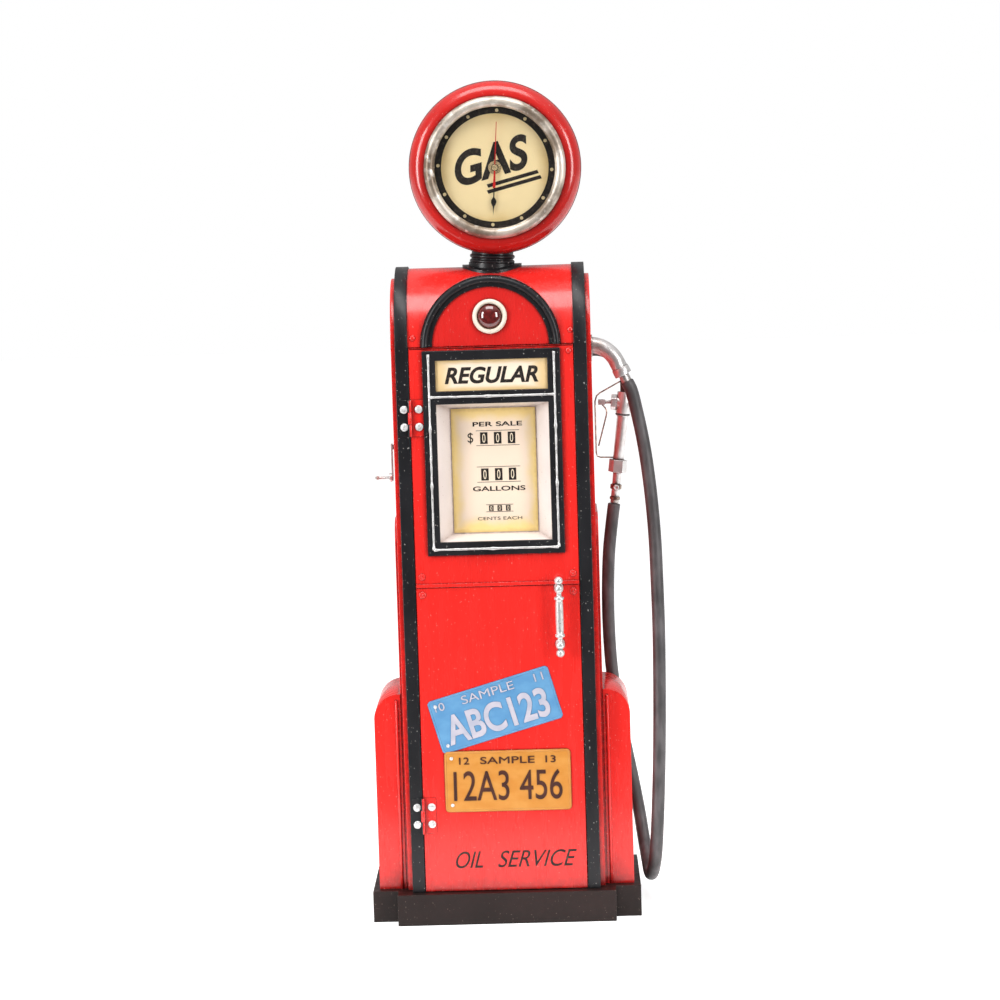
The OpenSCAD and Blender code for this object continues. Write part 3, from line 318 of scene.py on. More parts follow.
open_sky = shade_and_wear.node("AmbientOcclusion", {"Distance": shade_and_wear_in["Corner Reach"]}, samples=8).outputs["AO"]
wide_sky = shade_and_wear.node("AmbientOcclusion", {"Distance": 0.035}, samples=4).outputs["AO"]
height_here = shade_and_wear.node("SeparateXYZ", {0: shade_and_wear.node("TexCoord").outputs["Object"]}).outputs["Z"]
# The foot of the walls, from the top of the plinth upwards, which painted shade darkens.
foot_low, foot_high = 0.031, 0.075
give_out(
    shade_and_wear, shade_and_wear_end,
    Edge=shade_and_wear.span(straightness, 0.985, 0.86),
    Corner=shade_and_wear.span(open_sky, 0.92, 0.45),
    Shade=shade_and_wear.span(wide_sky, 0.80, 0.30),
    Foot=shade_and_wear.span(height_here, foot_high, foot_low),
    Patches=shade_and_wear.noise(160, 6),
    Chips=shade_and_wear.noise(620, 4),
)


def shade_corners(graph, reach, share, tone, shade_colour):
    """Colours a surface with a tone and darkens its corners with painted shade, as far as reach."""
    corner = use(graph, shade_and_wear, {"Corner Reach": reach})["Corner"]
    graph.tint(graph.times(corner, share), tone, shade_colour)


def enamel(
    name, paint, shade_colour, worn, shade_share=0.8, worn_share=0.85, gloss=0.24, edge_width=0.0012,
    blotch=0.06, coat=0.25, mirror=0.5, flecks=0.35,
):
    """Hand-brushed enamel: paint colour, painted shade in the corners and along the edges, worn specks at
    the edges.
    """
    made, graph = material(name, Specular_IOR_Level=mirror, Coat_Weight=coat, Coat_Roughness=0.12)
    shade_and_wear_at = use(graph, shade_and_wear, {"Edge Width": edge_width})
    tone = graph.span(graph.noise(14, 4), 0.3, 0.7, 1 - blotch, 1 + blotch)
    grey = graph.node("CombineColor", {0: tone, 1: tone, 2: tone}).outputs[0]
    body = graph.mix(1.0, paint, grey, "MULTIPLY")
    uneven = graph.span(shade_and_wear_at["Patches"], 0.25, 0.6, 0.5, 1.0)
    # The dark colour mixed in below is painted shade, in corners, hollows, along edges and at the foot of
    # the walls.
    soft_shade = graph.maths(
        "ADD", graph.times(shade_and_wear_at["Shade"], 0.55), graph.times(shade_and_wear_at["Foot"], 0.40)
    )
    corner_shade = graph.times(graph.maths("MAXIMUM", shade_and_wear_at["Corner"], soft_shade), uneven)
    edge_shade = graph.times(shade_and_wear_at["Edge"], 0.45)
    painted_shade = graph.times(graph.maths("MAXIMUM", corner_shade, edge_shade), shade_share)
    shaded = graph.mix(painted_shade, body, shade_colour)
    chips = graph.times(
        graph.span(shade_and_wear_at["Chips"], 0.58, 0.66), graph.span(shade_and_wear_at["Patches"], 0.45, 0.6)
    )
    bare = graph.times(graph.times(graph.span(shade_and_wear_at["Edge"], 0.05, 0.35), chips), worn_share)
    specks = graph.times(graph.span(graph.noise(480, 2), 0.70, 0.73), flecks)
    graph.tint(graph.maths("MAXIMUM", bare, specks), shaded, worn)
    roughen(graph, 120, gloss - 0.05, gloss + 0.09, 0.035, stretch=(1, 1, 0.12))
    return made


red_enamel = enamel(
    "red_enamel", (0.80, 0.021, 0.016, 1), (0.075, 0.004, 0.005, 1), (0.85, 0.42, 0.36, 1)
)
black_enamel = enamel(
    "black_enamel", (0.012, 0.012, 0.014, 1), (0.004, 0.004, 0.004, 1), (0.42, 0.40, 0.38, 1),
    0.5, 0.85, 0.33, blotch=0.3, coat=0.0, mirror=0.35, flecks=0.9,
)
cream_enamel = enamel(
    "cream_enamel", (0.84, 0.74, 0.62, 1), (0.30, 0.19, 0.11, 1), (0.25, 0.16, 0.10, 1), 0.8, 0.5, 0.35
)


def soften(piece, width=0.4 * mm, segments=2):
    """Rounds the sharp edges of a CAD node a little, as folded and painted sheet has them."""
    weld = piece.modifiers.new("weld", "WELD")
    weld.merge_threshold = 0.00002
    flat = piece.modifiers.new("flat_faces", "DECIMATE")
    flat.decimate_type = "DISSOLVE"
    flat.angle_limit = math.radians(0.5)
    bevel = piece.modifiers.new("soft_edges", "BEVEL")
    bevel.width = width
    bevel.segments = segments
    bevel.limit_method = "ANGLE"
    bevel.angle_limit = math.radians(35)
    bevel.harden_normals = True


def dress(made, *names, edge=0.4 * mm):
    """Gives CAD nodes their material and, where edge isn't zero, soft edges."""
    for name in names:
        finish_with(nodes[name], made)
        if edge:
            soften(nodes[name], edge)


# ---------- Plinth ----------
# A shallow tray of sheet in dark brown enamel, rubbed lighter at the edges, closed below with a
# plain board. It juts out in the middle, before and behind the narrower side sections.
brown_enamel = enamel(
    "brown_enamel", (0.020, 0.011, 0.010, 1), (0.006, 0.004, 0.003, 1), (0.30, 0.22, 0.18, 1),
    0.7, 0.75, 0.42, edge_width=0.0026, blotch=0.25, coat=0.0, mirror=0.25,
)
dress(brown_enamel, "plinth_shell", edge=0.7 * mm)

board_wood, graph = material("board_wood", Roughness=0.7)
wood_rings = graph.noise(24, 4, (0.15, 3, 3))
graph.tint(graph.span(wood_rings, 0.35, 0.65), (0.42, 0.27, 0.14, 1), (0.27, 0.16, 0.08, 1))
dress(board_wood, "plinth_board", edge=0.3 * mm)


# ---------- Carcass ----------
# Two side walls with folded flanges carry the rolled roof sheet, the back panel, the floor and
# the header over the door. Everything is red enamel, inside too.
dress(
    red_enamel, "side_wall_left", "side_wall_right", "back_panel", "cabinet_floor", "door_header",
    "shelves", edge=0.3 * mm,
)
dress(red_enamel, "roof_sheet", edge=0)
dress(red_enamel, "side_panel_left", "side_panel_right", "fender_left", "fender_right", edge=0.7 * mm)
dress(black_enamel, "trim_bands", edge=0.5 * mm)


# ---------- Arch and lamp ----------
# A curved housing stands out of the roof over the door, edged with a beaded black moulding. In
# its middle a dark red moulded lens sits in a cream ring.
arch_enamel = enamel(
    "arch_enamel", (0.68, 0.018, 0.015, 1), (0.07, 0.004, 0.004, 1), (0.85, 0.42, 0.36, 1)
)
dress(arch_enamel, "arch_housing", edge=0.3 * mm)
dress(black_enamel, "arch_moulding", edge=0)
dress(cream_enamel, "lamp_bezel", edge=0)


def turned(name, profile, steps=64, loop=False):
    """A lathe piece about +Z. profile is a list of (radius, height), open or closed to a loop."""
    points, faces, rings = [], [], []
    for radius, height in profile:
        ring = []
        for k in range(1 if radius == 0 else steps):
            angle = 2 * math.pi * k / steps
            ring.append(len(points))
            points.append((radius * math.cos(angle), radius * math.sin(angle), height))
        rings.append(ring)
    for a, b in zip(rings, rings[1:] + (rings[:1] if loop else [])):
        for k in range(steps):
            j = (k + 1) % steps
            corners = [a[k % len(a)], a[j % len(a)], b[j % len(b)], b[k % len(b)]]
            corners = list(dict.fromkeys(corners))
            if len(corners) > 2:
                faces.append(corners)
    faces += [ring for ring in (rings[0], rings[-1]) if len(ring) > 1 and not loop]
    return mesh_piece(name, points, faces)


def in_mm(profile):
    """A profile in metres from one in millimetres."""
    return [(radius * mm, height * mm) for radius, height in profile]


def middle_of(box):
    """The middle of a box, which is given by its lowest and its highest corner."""
    return (box[0] + box[1]) / 2


def settle(piece, matrix):
    """Moves a new piece's mesh to its place, so that its object stays at the origin."""
    piece.data.transform(matrix)
    return piece


def facing_front(x, y, z, tilt=0.0):
    """The place of a piece that was made about +Z or in X and Y and that faces -Y."""
    return (
        Matrix.Translation((x, y, z))
        @ Matrix.Rotation(math.pi / 2, 4, "X")
        @ Matrix.Rotation(tilt, 4, "Z")
    )


lens_middle = middle_of(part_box("lamp_lens"))
lens_radius = 12.0 * mm
lens_rise = 7.0 * mm
lens_angles = [math.pi / 2 * i / 20 for i in range(20)]
lens_dome = [(lens_radius * math.cos(a), lens_rise * math.sin(a) ** 1.15) for a in lens_angles]
lens_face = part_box("roof_sheet")[0].y
lens = turned("red_lens", [(lens_radius, -3.2 * mm)] + lens_dome + [(0, lens_rise)])
settle(lens, facing_front(lens_middle.x, lens_face - 1.0 * mm, lens_middle.z))
lens_red, graph = material(
    "lens_red", Roughness=0.08, Specular_IOR_Level=0.7, Coat_Weight=1.0, Coat_Roughness=0.03, IOR=1.5
)
lens_depth = graph.span(graph.noise(220, 2), 0.3, 0.7)
graph.tint(lens_depth, (0.080, 0.005, 0.005, 1), (0.16, 0.010, 0.009, 1))
finish_with(lens, lens_red)
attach(lens, "pump_body")
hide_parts("lamp_lens")


# ---------- Door ----------
# One long folded pan, hinged on the left, with a raised strip across it that hides a seam. Its
# strike plate meets a magnet on the right wall.
dress(red_enamel, "door_panel", edge=0.5 * mm)
dress(red_enamel, "door_seam_strip", edge=0.4 * mm)

zinc, graph = material("zinc_plate", Metallic=1.0)
graph.tint(graph.span(graph.noise(90, 4), 0.3, 0.7), (0.52, 0.52, 0.53, 1), (0.70, 0.70, 0.70, 1))
roughen(graph, 500, 0.28, 0.46)
dress(zinc, "catch_strike", "shelf_ledges", edge=0.2 * mm)
black_plastic, graph = material("black_plastic", Specular_IOR_Level=0.4)
graph.tint(graph.noise(60, 3), (0.022, 0.022, 0.023, 1), (0.035, 0.035, 0.036, 1))
roughen(graph, 1800, 0.45, 0.6, 0.25)
dress(black_plastic, "catch_magnet", edge=0.5 * mm)


# ---------- Window ----------
# A thick black frame around the sign and the display. A bead of bright metal runs on it in four
# strips that were laid by hand, so that it swells and thins, with a blob at every joint.
dress(black_enamel, "window_frame", edge=0.6 * mm)

bright_metal, graph = material("bright_metal", Metallic=0.6)
bright_tone = graph.mix(
    graph.span(graph.noise(240, 4), 0.5, 0.8), (0.70, 0.69, 0.68, 1), (0.34, 0.32, 0.31, 1)
)
# Painted shade darkens its corners.
shade_corners(graph, 0.003, 0.8, bright_tone, (0.07, 0.05, 0.05, 1))
roughen(graph, 420, 0.26, 0.42, 0.2)


def islands(name):
    """The box of each separate solid in a CAD node, as (lowest corner, highest corner)."""
    shape = bmesh.new()
    shape.from_mesh(nodes[name].data)
    bmesh.ops.remove_doubles(shape, verts=shape.verts, dist=0.00001)
    left, found = set(shape.verts), []
    while left:
        reach = [left.pop()]
        for vertex in reach:
            near = {edge.other_vert(vertex) for edge in vertex.link_edges} & left
            left -= near
            reach.extend(near)
        corners = list(zip(*[v.co for v in reach]))
        found.append((Vector([min(c) for c in corners]), Vector([max(c) for c in corners])))
    shape.free()
    return sorted(found, key=lambda box: (round(box[0].z, 4), box[0].x))


def laid_bead(name, start, end, radius, blobs):
    """A hand-laid bead between two points, which swells at the given shares of its length."""
    count = max(12, int((end - start).length / (1.6 * mm)))
    path, radii = [], []
    for i in range(count + 1):
        share = i / count
        place = start.lerp(end, share)
        waver = noise.noise_vector(place * 160) * 0.16 * mm
        swell = 1 + 0.20 * noise.noise(place * 160) + 0.10 * noise.noise(place * 520)
        for blob in blobs:
            swell += 0.55 * math.exp(-(((share - blob) * count / 1.8) ** 2))
        path.append(place + Vector((waver.x, 0, waver.z)))
        radii.append(radius * swell)
    return tube(name, path, radii, 12)


def join(name, parts):
    """Several new meshes as one piece."""
    shape = bmesh.new()
    for part in parts:
        shape.from_mesh(part.data)
    joined = bpy.data.meshes.new(name)
    shape.to_mesh(joined)
    shape.free()
    for part in parts:
        bpy.data.objects.remove(part)
    return link(bpy.data.objects.new(name, joined))


bead_low, bead_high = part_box("window_piping")
bead_radius = 1.15 * mm
left, right = bead_low.x + bead_radius, bead_high.x - bead_radius
bottom, top = bead_low.z + bead_radius, bead_high.z - bead_radius
crossbar = 527.6 * mm
upright_blobs, level_blobs = (0, 0.33, 0.62, 1), (0, 0.47, 1)
beads = [
    laid_bead("bead", Vector((x0, bead_high.y, z0)), Vector((x1, bead_high.y, z1)), bead_radius, blobs)
    for x0, z0, x1, z1, blobs in (
        (left, bottom, left, top, upright_blobs),
        (right, bottom, right, top, upright_blobs),
        (left, bottom, right, bottom, level_blobs),
        (left, crossbar, right, crossbar, level_blobs),
    )
]
piping = join("window_bead", beads)
finish_with(piping, bright_metal)
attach(piping, "door")
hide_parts("window_piping")


# ---------- Sign and display ----------
# Printed cards behind the frame: the sign is flush and the display sits at the back of a sloped
# cream box. The card is cream and yellowed towards its edges; its rules, counters and words are printed
# black, with pale figures.
box_enamel = enamel(
    "box_enamel", (0.80, 0.72, 0.69, 1), (0.30, 0.18, 0.12, 1), (0.30, 0.18, 0.10, 1), 0.6, 0.5, 0.38
)
dress(box_enamel, "shadow_box", edge=0)

ink, graph = material("printing_ink", Specular_IOR_Level=0.3)
graph.tint(graph.span(graph.noise(300, 4), 0.5, 0.8), (0.018, 0.014, 0.012, 1), (0.085, 0.065, 0.05, 1))
roughen(graph, 700, 0.4, 0.6)


def card_paper(name, middle, half, pale, aged, start=0.55, stain=(0.45, 0.28, 0.10, 1)):
    """Printed card: pale in the middle, aged towards the edge of a card of that half width and height."""
    made, graph = material(name, Specular_IOR_Level=0.35)
    place = graph.node("TexCoord").outputs["Object"]
    from_middle = graph.node("VectorMath", {0: place, 1: tuple(middle)}, operation="SUBTRACT").outputs[0]
    share = graph.node("VectorMath", {0: from_middle, 1: half}, operation="DIVIDE").outputs[0]
    axes = graph.node(
        "SeparateXYZ", {0: graph.node("VectorMath", {0: share}, operation="ABSOLUTE").outputs[0]}
    ).outputs
    outwards = graph.maths("MAXIMUM", axes["X"], axes["Z"])
    uneven = graph.maths("ADD", outwards, graph.times(graph.noise(45, 4), 0.28))
    aged_tone = graph.mix(graph.span(uneven, start + 0.14, 1.1), pale, aged)
    rim = graph.span(
        graph.maths("ADD", outwards, graph.times(graph.noise(240, 4), 0.08)), 0.97, 1.05
    )
    graph.tint(graph.times(rim, 0.4), aged_tone, stain)
    roughen(graph, 800, 0.42, 0.62, 0.08)
    return made


display_box, sign_box = islands("printed_cards")
sign_middle, display_middle = middle_of(sign_box), middle_of(display_box)
sign_half = (sign_box[1] - sign_box[0]) / 2
display_half = (display_box[1] - display_box[0]) / 2
sign_paper = card_paper(
    "sign_paper", sign_middle, (sign_half.x, 1, sign_half.z),
    (0.92, 0.76, 0.60, 1), (0.78, 0.56, 0.28, 1), 0.62,
)
display_paper = card_paper(
    "display_paper", display_middle, (display_half.x, 1, display_half.z),
    (0.88, 0.71, 0.56, 1), (0.88, 0.65, 0.26, 1), 0.72,
)
cards = nodes["printed_cards"]
finish_with(cards, display_paper)
cards.data.materials.append(sign_paper)
for face in cards.data.polygons:
    face.material_index = int(face.center.z > (sign_middle.z + display_middle.z) / 2)


def letters(name, text, width, height, depth=0.15 * mm, slant=0.0, weight=0.0):
    """Plain block lettering in X and Y with its middle at the origin, fitted to a width and height."""
    curve = bpy.data.curves.new(name, "FONT")
    curve.body = text
    curve.shear = slant
    curve.offset = weight
    curve.extrude = 0.01
    carrier = link(bpy.data.objects.new(name + "_text", curve))
    bpy.context.view_layer.update()
    mesh = bpy.data.meshes.new_from_object(carrier.evaluated_get(bpy.context.evaluated_depsgraph_get()))
    bpy.data.objects.remove(carrier)
    corners = list(zip(*[v.co for v in mesh.vertices]))
    low = Vector([min(c) for c in corners])
    high = Vector([max(c) for c in corners])
    size = high - low
    scale = Matrix.Diagonal((width / size.x, height / size.y, depth / size.z, 1))
    mesh.transform(scale @ Matrix.Translation((-(low.x + high.x) / 2, -(low.y + high.y) / 2, -low.z)))
    return link(bpy.data.objects.new(name, mesh))


def slab(name, width, height, depth=0.15 * mm, slant=0.0):
    """A flat printed bar in X and Y with its middle at the origin; slant leans its ends."""
    half_w, half_h = width / 2, height / 2
    points = [
        (sx * half_w + sy * slant * half_h, sy * half_h, z)
        for z in (0, depth) for sx, sy in ((-1, -1), (1, -1), (1, 1), (-1, 1))
    ]
    faces = [(0, 1, 2, 3), (4, 5, 6, 7), (0, 1, 5, 4), (1, 2, 6, 5), (2, 3, 7, 6), (3, 0, 4, 7)]
    return mesh_piece(name, points, faces, smooth=False)


def printed(name, parts, made, body):
    """Joins placed parts into one printed piece that rides on a body."""
    piece = join(name, parts)
    finish_with(piece, made)
    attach(piece, body)
    return piece


sign_word = letters("sign_word", "REGULAR", 92 * mm, 16.5 * mm, slant=0.25, weight=0.03)
settle(sign_word, facing_front(sign_middle.x, sign_box[0].y, sign_middle.z))
printed("sign_print", [sign_word], ink, "door")

display_face = display_box[0].y


def on_display(part, x, z):
    """Sets a part on the display card, at millimetres from the card's middle."""
    return settle(part, facing_front(display_middle.x + x * mm, display_face, display_middle.z + z * mm))


# Each row of counters: height, pitch, length and distance of its rules, width and height of a window.
counters_x = 4.0
display_parts, window_parts = [], []
counters = [
    (32.0, 13.7, 43.0, 14.8, 7.4, 11.6), (-4.2, 13.7, 43.0, 15.2, 7.4, 12.0),
    (-38.0, 8.4, 27.0, 7.0, 4.6, 5.6),
]
for height, pitch, rule, gap, box_w, box_h in counters:
    for s in (-1, 1):
        display_parts.append(
            on_display(slab("rule", rule * mm, 0.5 * mm), counters_x, height + s * gap / 2)
        )
    for i in (-1, 0, 1):
        x = counters_x + i * pitch
        display_parts.append(on_display(slab("counter", box_w * mm, box_h * mm), x, height))
        figure = letters("figure", "0", box_w * 0.42 * mm, box_h * 0.76 * mm, 0.25 * mm)
        window_parts.append(on_display(figure, x, height))
for text, x, z, width, height, weight in (
    ("PER SALE", counters_x, 45.9, 49, 4.6, 0.02), ("$", -23.0, 32, 5.6, 11.4, 0.0),
    ("GALLONS", counters_x, -18.4, 52, 4.8, 0.02), ("CENTS EACH", counters_x, -48.2, 44, 3.2, 0.0),
):
    label = letters("label", text, width * mm, height * mm, weight=weight)
    display_parts.append(on_display(label, x, z))
printed("display_print", display_parts, ink, "door")
pale_ink, graph = material("pale_ink", Specular_IOR_Level=0.3, Roughness=0.5)
graph.tint(graph.noise(400, 3), (0.92, 0.80, 0.64, 1), (0.80, 0.66, 0.48, 1))
printed("display_figures", window_parts, pale_ink, "door")


# ---------- Plates ----------
# Two pressed sheet plates are screwed to the door, one over the other. The rim and the characters
# are pressed up from behind, and the characters are inked with a roller.
def plate_enamel(name, paint, streak, shade_colour):
    """Thin streaky paint on a pressed plate, with painted shade against what stands out of it."""
    made, graph = material(name, Specular_IOR_Level=0.5, Coat_Weight=0.15, Coat_Roughness=0.2)
    tone = graph.mix(graph.span(graph.noise(55, 5, (1, 1, 1.6)), 0.3, 0.72), paint, streak)
    shade_corners(graph, 0.003, 0.7, tone, shade_colour)
    roughen(graph, 380, 0.3, 0.45, 0.15)
    return made


plate_blue = plate_enamel(
    "plate_blue", (0.095, 0.27, 0.50, 1), (0.13, 0.33, 0.56, 1), (0.02, 0.10, 0.22, 1)
)
plate_amber = plate_enamel(
    "plate_amber", (0.56, 0.22, 0.030, 1), (0.62, 0.28, 0.055, 1), (0.20, 0.07, 0.015, 1)
)
plate_pale = plate_enamel(
    "plate_pale", (0.56, 0.52, 0.58, 1), (0.42, 0.43, 0.52, 1), (0.12, 0.24, 0.34, 1)
)
plate_dark = plate_enamel(
    "plate_dark", (0.036, 0.009, 0.006, 1), (0.075, 0.020, 0.011, 1), (0.03, 0.01, 0.006, 1)
)
dress(plate_blue, "plate_upper", edge=0.25 * mm)
dress(plate_amber, "plate_lower", edge=0.25 * mm)


def pressed_rim(name, width, height, corner, inset, radius):
    """A half-round rim around a plate with round corners, in X and Y about the origin."""
    path = []
    for qx, qy, first in ((1, 1, 0), (-1, 1, 90), (-1, -1, 180), (1, -1, 270)):
        for step in range(7):
            angle = math.radians(first + 15 * step)
            path.append(Vector((
                qx * (width / 2 - corner) + (corner - inset) * math.cos(angle),
                qy * (height / 2 - corner) + (corner - inset) * math.sin(angle), 0)))
    points, faces, sides = [], [], 10
    for i, place in enumerate(path):
        heading = (path[(i + 1) % len(path)] - path[i - 1]).normalized()
        out = heading.cross(Vector((0, 0, 1)))
        for k in range(sides):
            angle = 2 * math.pi * k / sides
            points.append(
                place + out * radius * math.cos(angle) + Vector((0, 0, 0.6 * radius * math.sin(angle)))
            )
    for i in range(len(path)):
        j = (i + 1) % len(path)
        for k in range(sides):
            m = (k + 1) % sides
            faces.append((i * sides + k, i * sides + m, j * sides + m, j * sides + k))
    return mesh_piece(name, points, faces)


plate_width, upper_height, lower_height = 125.5 * mm, 55 * mm, 61.3 * mm
plate_tilt = math.radians(16)
upper_box, lower_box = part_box("plate_upper"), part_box("plate_lower")
upper_middle, lower_middle = middle_of(upper_box), middle_of(lower_box)
upper_place = facing_front(upper_middle.x, upper_box[0].y, upper_middle.z, plate_tilt)
lower_place = facing_front(lower_middle.x, lower_box[0].y, lower_middle.z)


def plate_print(name, place, rows, made):
    """Pressed characters. Each row is a text, x, y, width and height in millimetres, and a weight."""
    parts = []
    for text, x, y, width, height, weight in rows:
        part = letters("pressed", text, width * mm, height * mm, 0.55 * mm, weight=weight)
        parts.append(settle(part, place @ Matrix.Translation((x * mm, y * mm, 0))))
    return printed(name, parts, made, "door")


plate_print(
    "upper_plate_characters", upper_place,
    [("10", -52, 19.0, 10, 8, 0.0), ("SAMPLE", -2, 19.0, 54, 8.5, 0.0), ("11", 51, 19.0, 9, 8, 0.0),
     ("ABC123", 0, -6.5, 106, 30, 0.025)],
    plate_pale,
)
plate_print(
    "lower_plate_characters", lower_place,
    [("12", -43, 21.0, 10, 7, 0.0), ("SAMPLE", 0, 21.0, 54, 7, 0.0), ("13", 43, 21.0, 10, 7, 0.0),
     ("12A3 456", 0, -4.5, 108, 30, 0.0)],
    plate_dark,
)
for name, place, height, made, slot_name in (
    ("upper_plate_rim", upper_place, upper_height, plate_blue, "plate_blue"),
    ("lower_plate_rim", lower_place, lower_height, plate_amber, "plate_orange"),
):
    rim = settle(pressed_rim(name, plate_width, height, 4 * mm, 1.3 * mm, 0.8 * mm), place)
    finish_with(rim, made)
    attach(rim, "door")


# ---------- Door handle ----------
# A cast spindle handle in bright metal on two short posts, with a ball and a finial at each end
# and a ring before each ball.
handle_middle = middle_of(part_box("door_handle"))
door_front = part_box("door_panel")[0].y
handle_reach, post_offset = 12 * mm, 28 * mm


def ball(middle, radius, low=-80, high=80, steps=10):
    """Profile points of a ball on a spindle, between two angles in degrees."""
    angles = [math.radians(low + (high - low) * i / steps) for i in range(steps + 1)]
    return [(radius * math.cos(a), middle + radius * math.sin(a)) for a in angles]


half_spindle = (
    [
        (3.95, 0), (3.9, 8), (3.75, 14), (3.6, 16.6), (4.5, 17.1), (4.85, 17.8), (4.85, 19.2),
        (4.5, 19.9), (3.0, 20.4), (2.5, 21.5),
    ]
    + ball(28, 4.6, -57, 57)
    + [(2.3, 32.2), (2.2, 32.9)]
    + ball(36, 4.2, -57, 84)
    + [(0, 40.2)]
)
spindle_profile = [(radius, -height) for radius, height in reversed(half_spindle)] + half_spindle[1:]
spindle = turned("handle_spindle", in_mm(spindle_profile), 40)
settle(spindle, Matrix.Translation((handle_middle.x, door_front - handle_reach, handle_middle.z)))
post_profile = [
    (0, 0), (4.6, 0), (4.6, 0.7), (3.9, 1.5), (2.9, 2.0), (2.3, 3.2), (2.2, 7), (2.5, 9.5), (0, 9.6)
]
posts = [
    settle(
        turned("post", in_mm(post_profile), 32),
        facing_front(handle_middle.x, door_front, handle_middle.z + s * post_offset),
    )
    for s in (-1, 1)
]
handle = join("door_handle_cast", [spindle] + posts)
handle.data.shade_smooth()
finish_with(handle, bright_metal)
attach(handle, "door")
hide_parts("door_handle")


# ---------- Hinges and rivets ----------
# Two small butt hinges, painted over with the door and the band, held by flat aluminium rivets.
# Smaller rivets, painted over, hold the seam strip and the header.
dress(black_enamel, "body_hinges", edge=0.2 * mm)
dress(red_enamel, "door_hinges", edge=0.2 * mm)
nodes["body_hinges"].data.materials.append(red_enamel)
band_edge = -81.6 * mm
for face in nodes["body_hinges"].data.polygons:
    face.material_index = int(face.center.x > band_edge)

rivet_metal, graph = material("rivet_metal", Metallic=0.55)
graph.tint(graph.span(graph.noise(500, 5), 0.4, 0.7), (0.86, 0.86, 0.86, 1), (0.52, 0.51, 0.50, 1))
roughen(graph, 600, 0.34, 0.55, 0.5, stretch=(1, 1, 0.25))


def rivet_heads(name, boxes, made, body, flat=0.62):
    """Flat-topped rivet heads in the boxes of the CAD ones, which face -Y or +Y."""
    parts = []
    for low, high in boxes:
        radius, rise = (high.x - low.x) / 2, high.y - low.y
        profile = [(radius, 0), (radius * 0.99, rise * 0.25)]
        profile += [
            (radius * (flat + (0.96 - flat) * math.cos(a)), rise * (0.25 + 0.55 * math.sin(a)))
            for a in [math.pi / 2 * i / 6 for i in range(1, 7)]
        ]
        profile += [(radius * 0.35, rise * 0.93), (0, rise)]
        part = turned("rivet", profile, 28)
        middle = (low + high) / 2
        if middle.y < 0:
            settle(part, facing_front(middle.x, high.y, middle.z))
        else:
            settle(
                part,
                Matrix.Translation((middle.x, low.y, middle.z)) @ Matrix.Rotation(-math.pi / 2, 4, "X"),
            )
        parts.append(part)
    piece = join(name, parts)
    piece.data.shade_smooth()
    finish_with(piece, made)
    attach(piece, body)
    return piece


def width_of(box):
    """The width of a box, along X."""
    return box[1].x - box[0].x


body_heads, door_heads = islands("body_rivets"), islands("door_rivets")
band_heads = [box for box in body_heads if box[0].y < 0]
back_heads = [box for box in body_heads if box[0].y > 0]
hinge_width, seam_width = 7.5 * mm, 6 * mm
hinge_heads = [box for box in door_heads if width_of(box) > hinge_width]
seam_heads = [box for box in door_heads if seam_width < width_of(box) < hinge_width]
screw_heads = [box for box in door_heads if width_of(box) < seam_width]
band_rivets = rivet_heads("band_rivets", band_heads, rivet_metal, "pump_body")
rivet_heads("back_rivets", back_heads, red_enamel, "pump_body")
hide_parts("body_rivets")
hinge_rivets = rivet_heads("hinge_rivets", hinge_heads, rivet_metal, "door")
rivet_heads("seam_rivets", seam_heads, red_enamel, "door", flat=0.3)
rivet_heads("plate_screws", screw_heads, rivet_metal, "door")
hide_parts("door_rivets")


# Painted-over rivet heads above and below the seam between header and door.
def seam_head(x, z, face_y, body):
    """A dome head, placed in millimetres, that rides on a body."""
    profile = [(2.9, -1.2), (2.9, 0.3), (2.2, 1.0), (1.0, 1.4), (0, 1.5)]
    part = turned("painted_head", in_mm(profile), 24)
    settle(part, facing_front(x * mm, face_y * mm, z * mm))
    finish_with(part, red_enamel)
    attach(part, body)


for x, z, face_y, body in (
    (-76.5, 586, -74.0, "pump_body"), (78.5, 590, -73.4, "pump_body"), (76.0, 570, -75.5, "door")
):
    seam_head(x, z, face_y, body)


# ---------- Painted words ----------
# Two plain words are brushed near the foot of the door, thin black paint on the red.
foot_words = [
    settle(
        letters("word", text, width * mm, 17 * mm, slant=0.35),
        facing_front(x * mm, door_front, 63.5 * mm),
    )
    for text, x, width in (("OIL", -36.5, 27), ("SERVICE", 31.5, 79))
]
printed("foot_words", foot_words, ink, "door")
# Two thin dark strips on the door are painted shadow: one under the raised seam strip and one along the
# door's top edge, below the header.
painted_shadow_lines = [
    settle(slab("painted_shadow_line", 160 * mm, width * mm, 0.05 * mm), facing_front(0, door_front, z))
    for width, z in (
        (0.9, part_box("door_seam_strip")[0].z - 0.4 * mm), (1.2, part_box("door_panel")[1].z - 1.0 * mm)
    )
]
# One dark paint serves the painted shadow strips on the door and the dark crimps of the globe.
shadow_and_seam_paint, graph = material("shadow_and_seam_paint", Roughness=0.9, Specular_IOR_Level=0.05)
graph.tint(graph.span(graph.noise(90, 4), 0.35, 0.6), (0.040, 0.005, 0.005, 1), (0.22, 0.010, 0.008, 1))
printed("painted_seam_shadows", painted_shadow_lines, shadow_and_seam_paint, "door")


# ---------- Neck and globe ----------
# The globe is a rolled drum between two spun rims, closed behind by a plain disc, and bolted
# through a ribbed black collar on the roof. It leans a little to the right, as real ones do.
dress(black_enamel, "neck_collar", "neck_flange", edge=0)
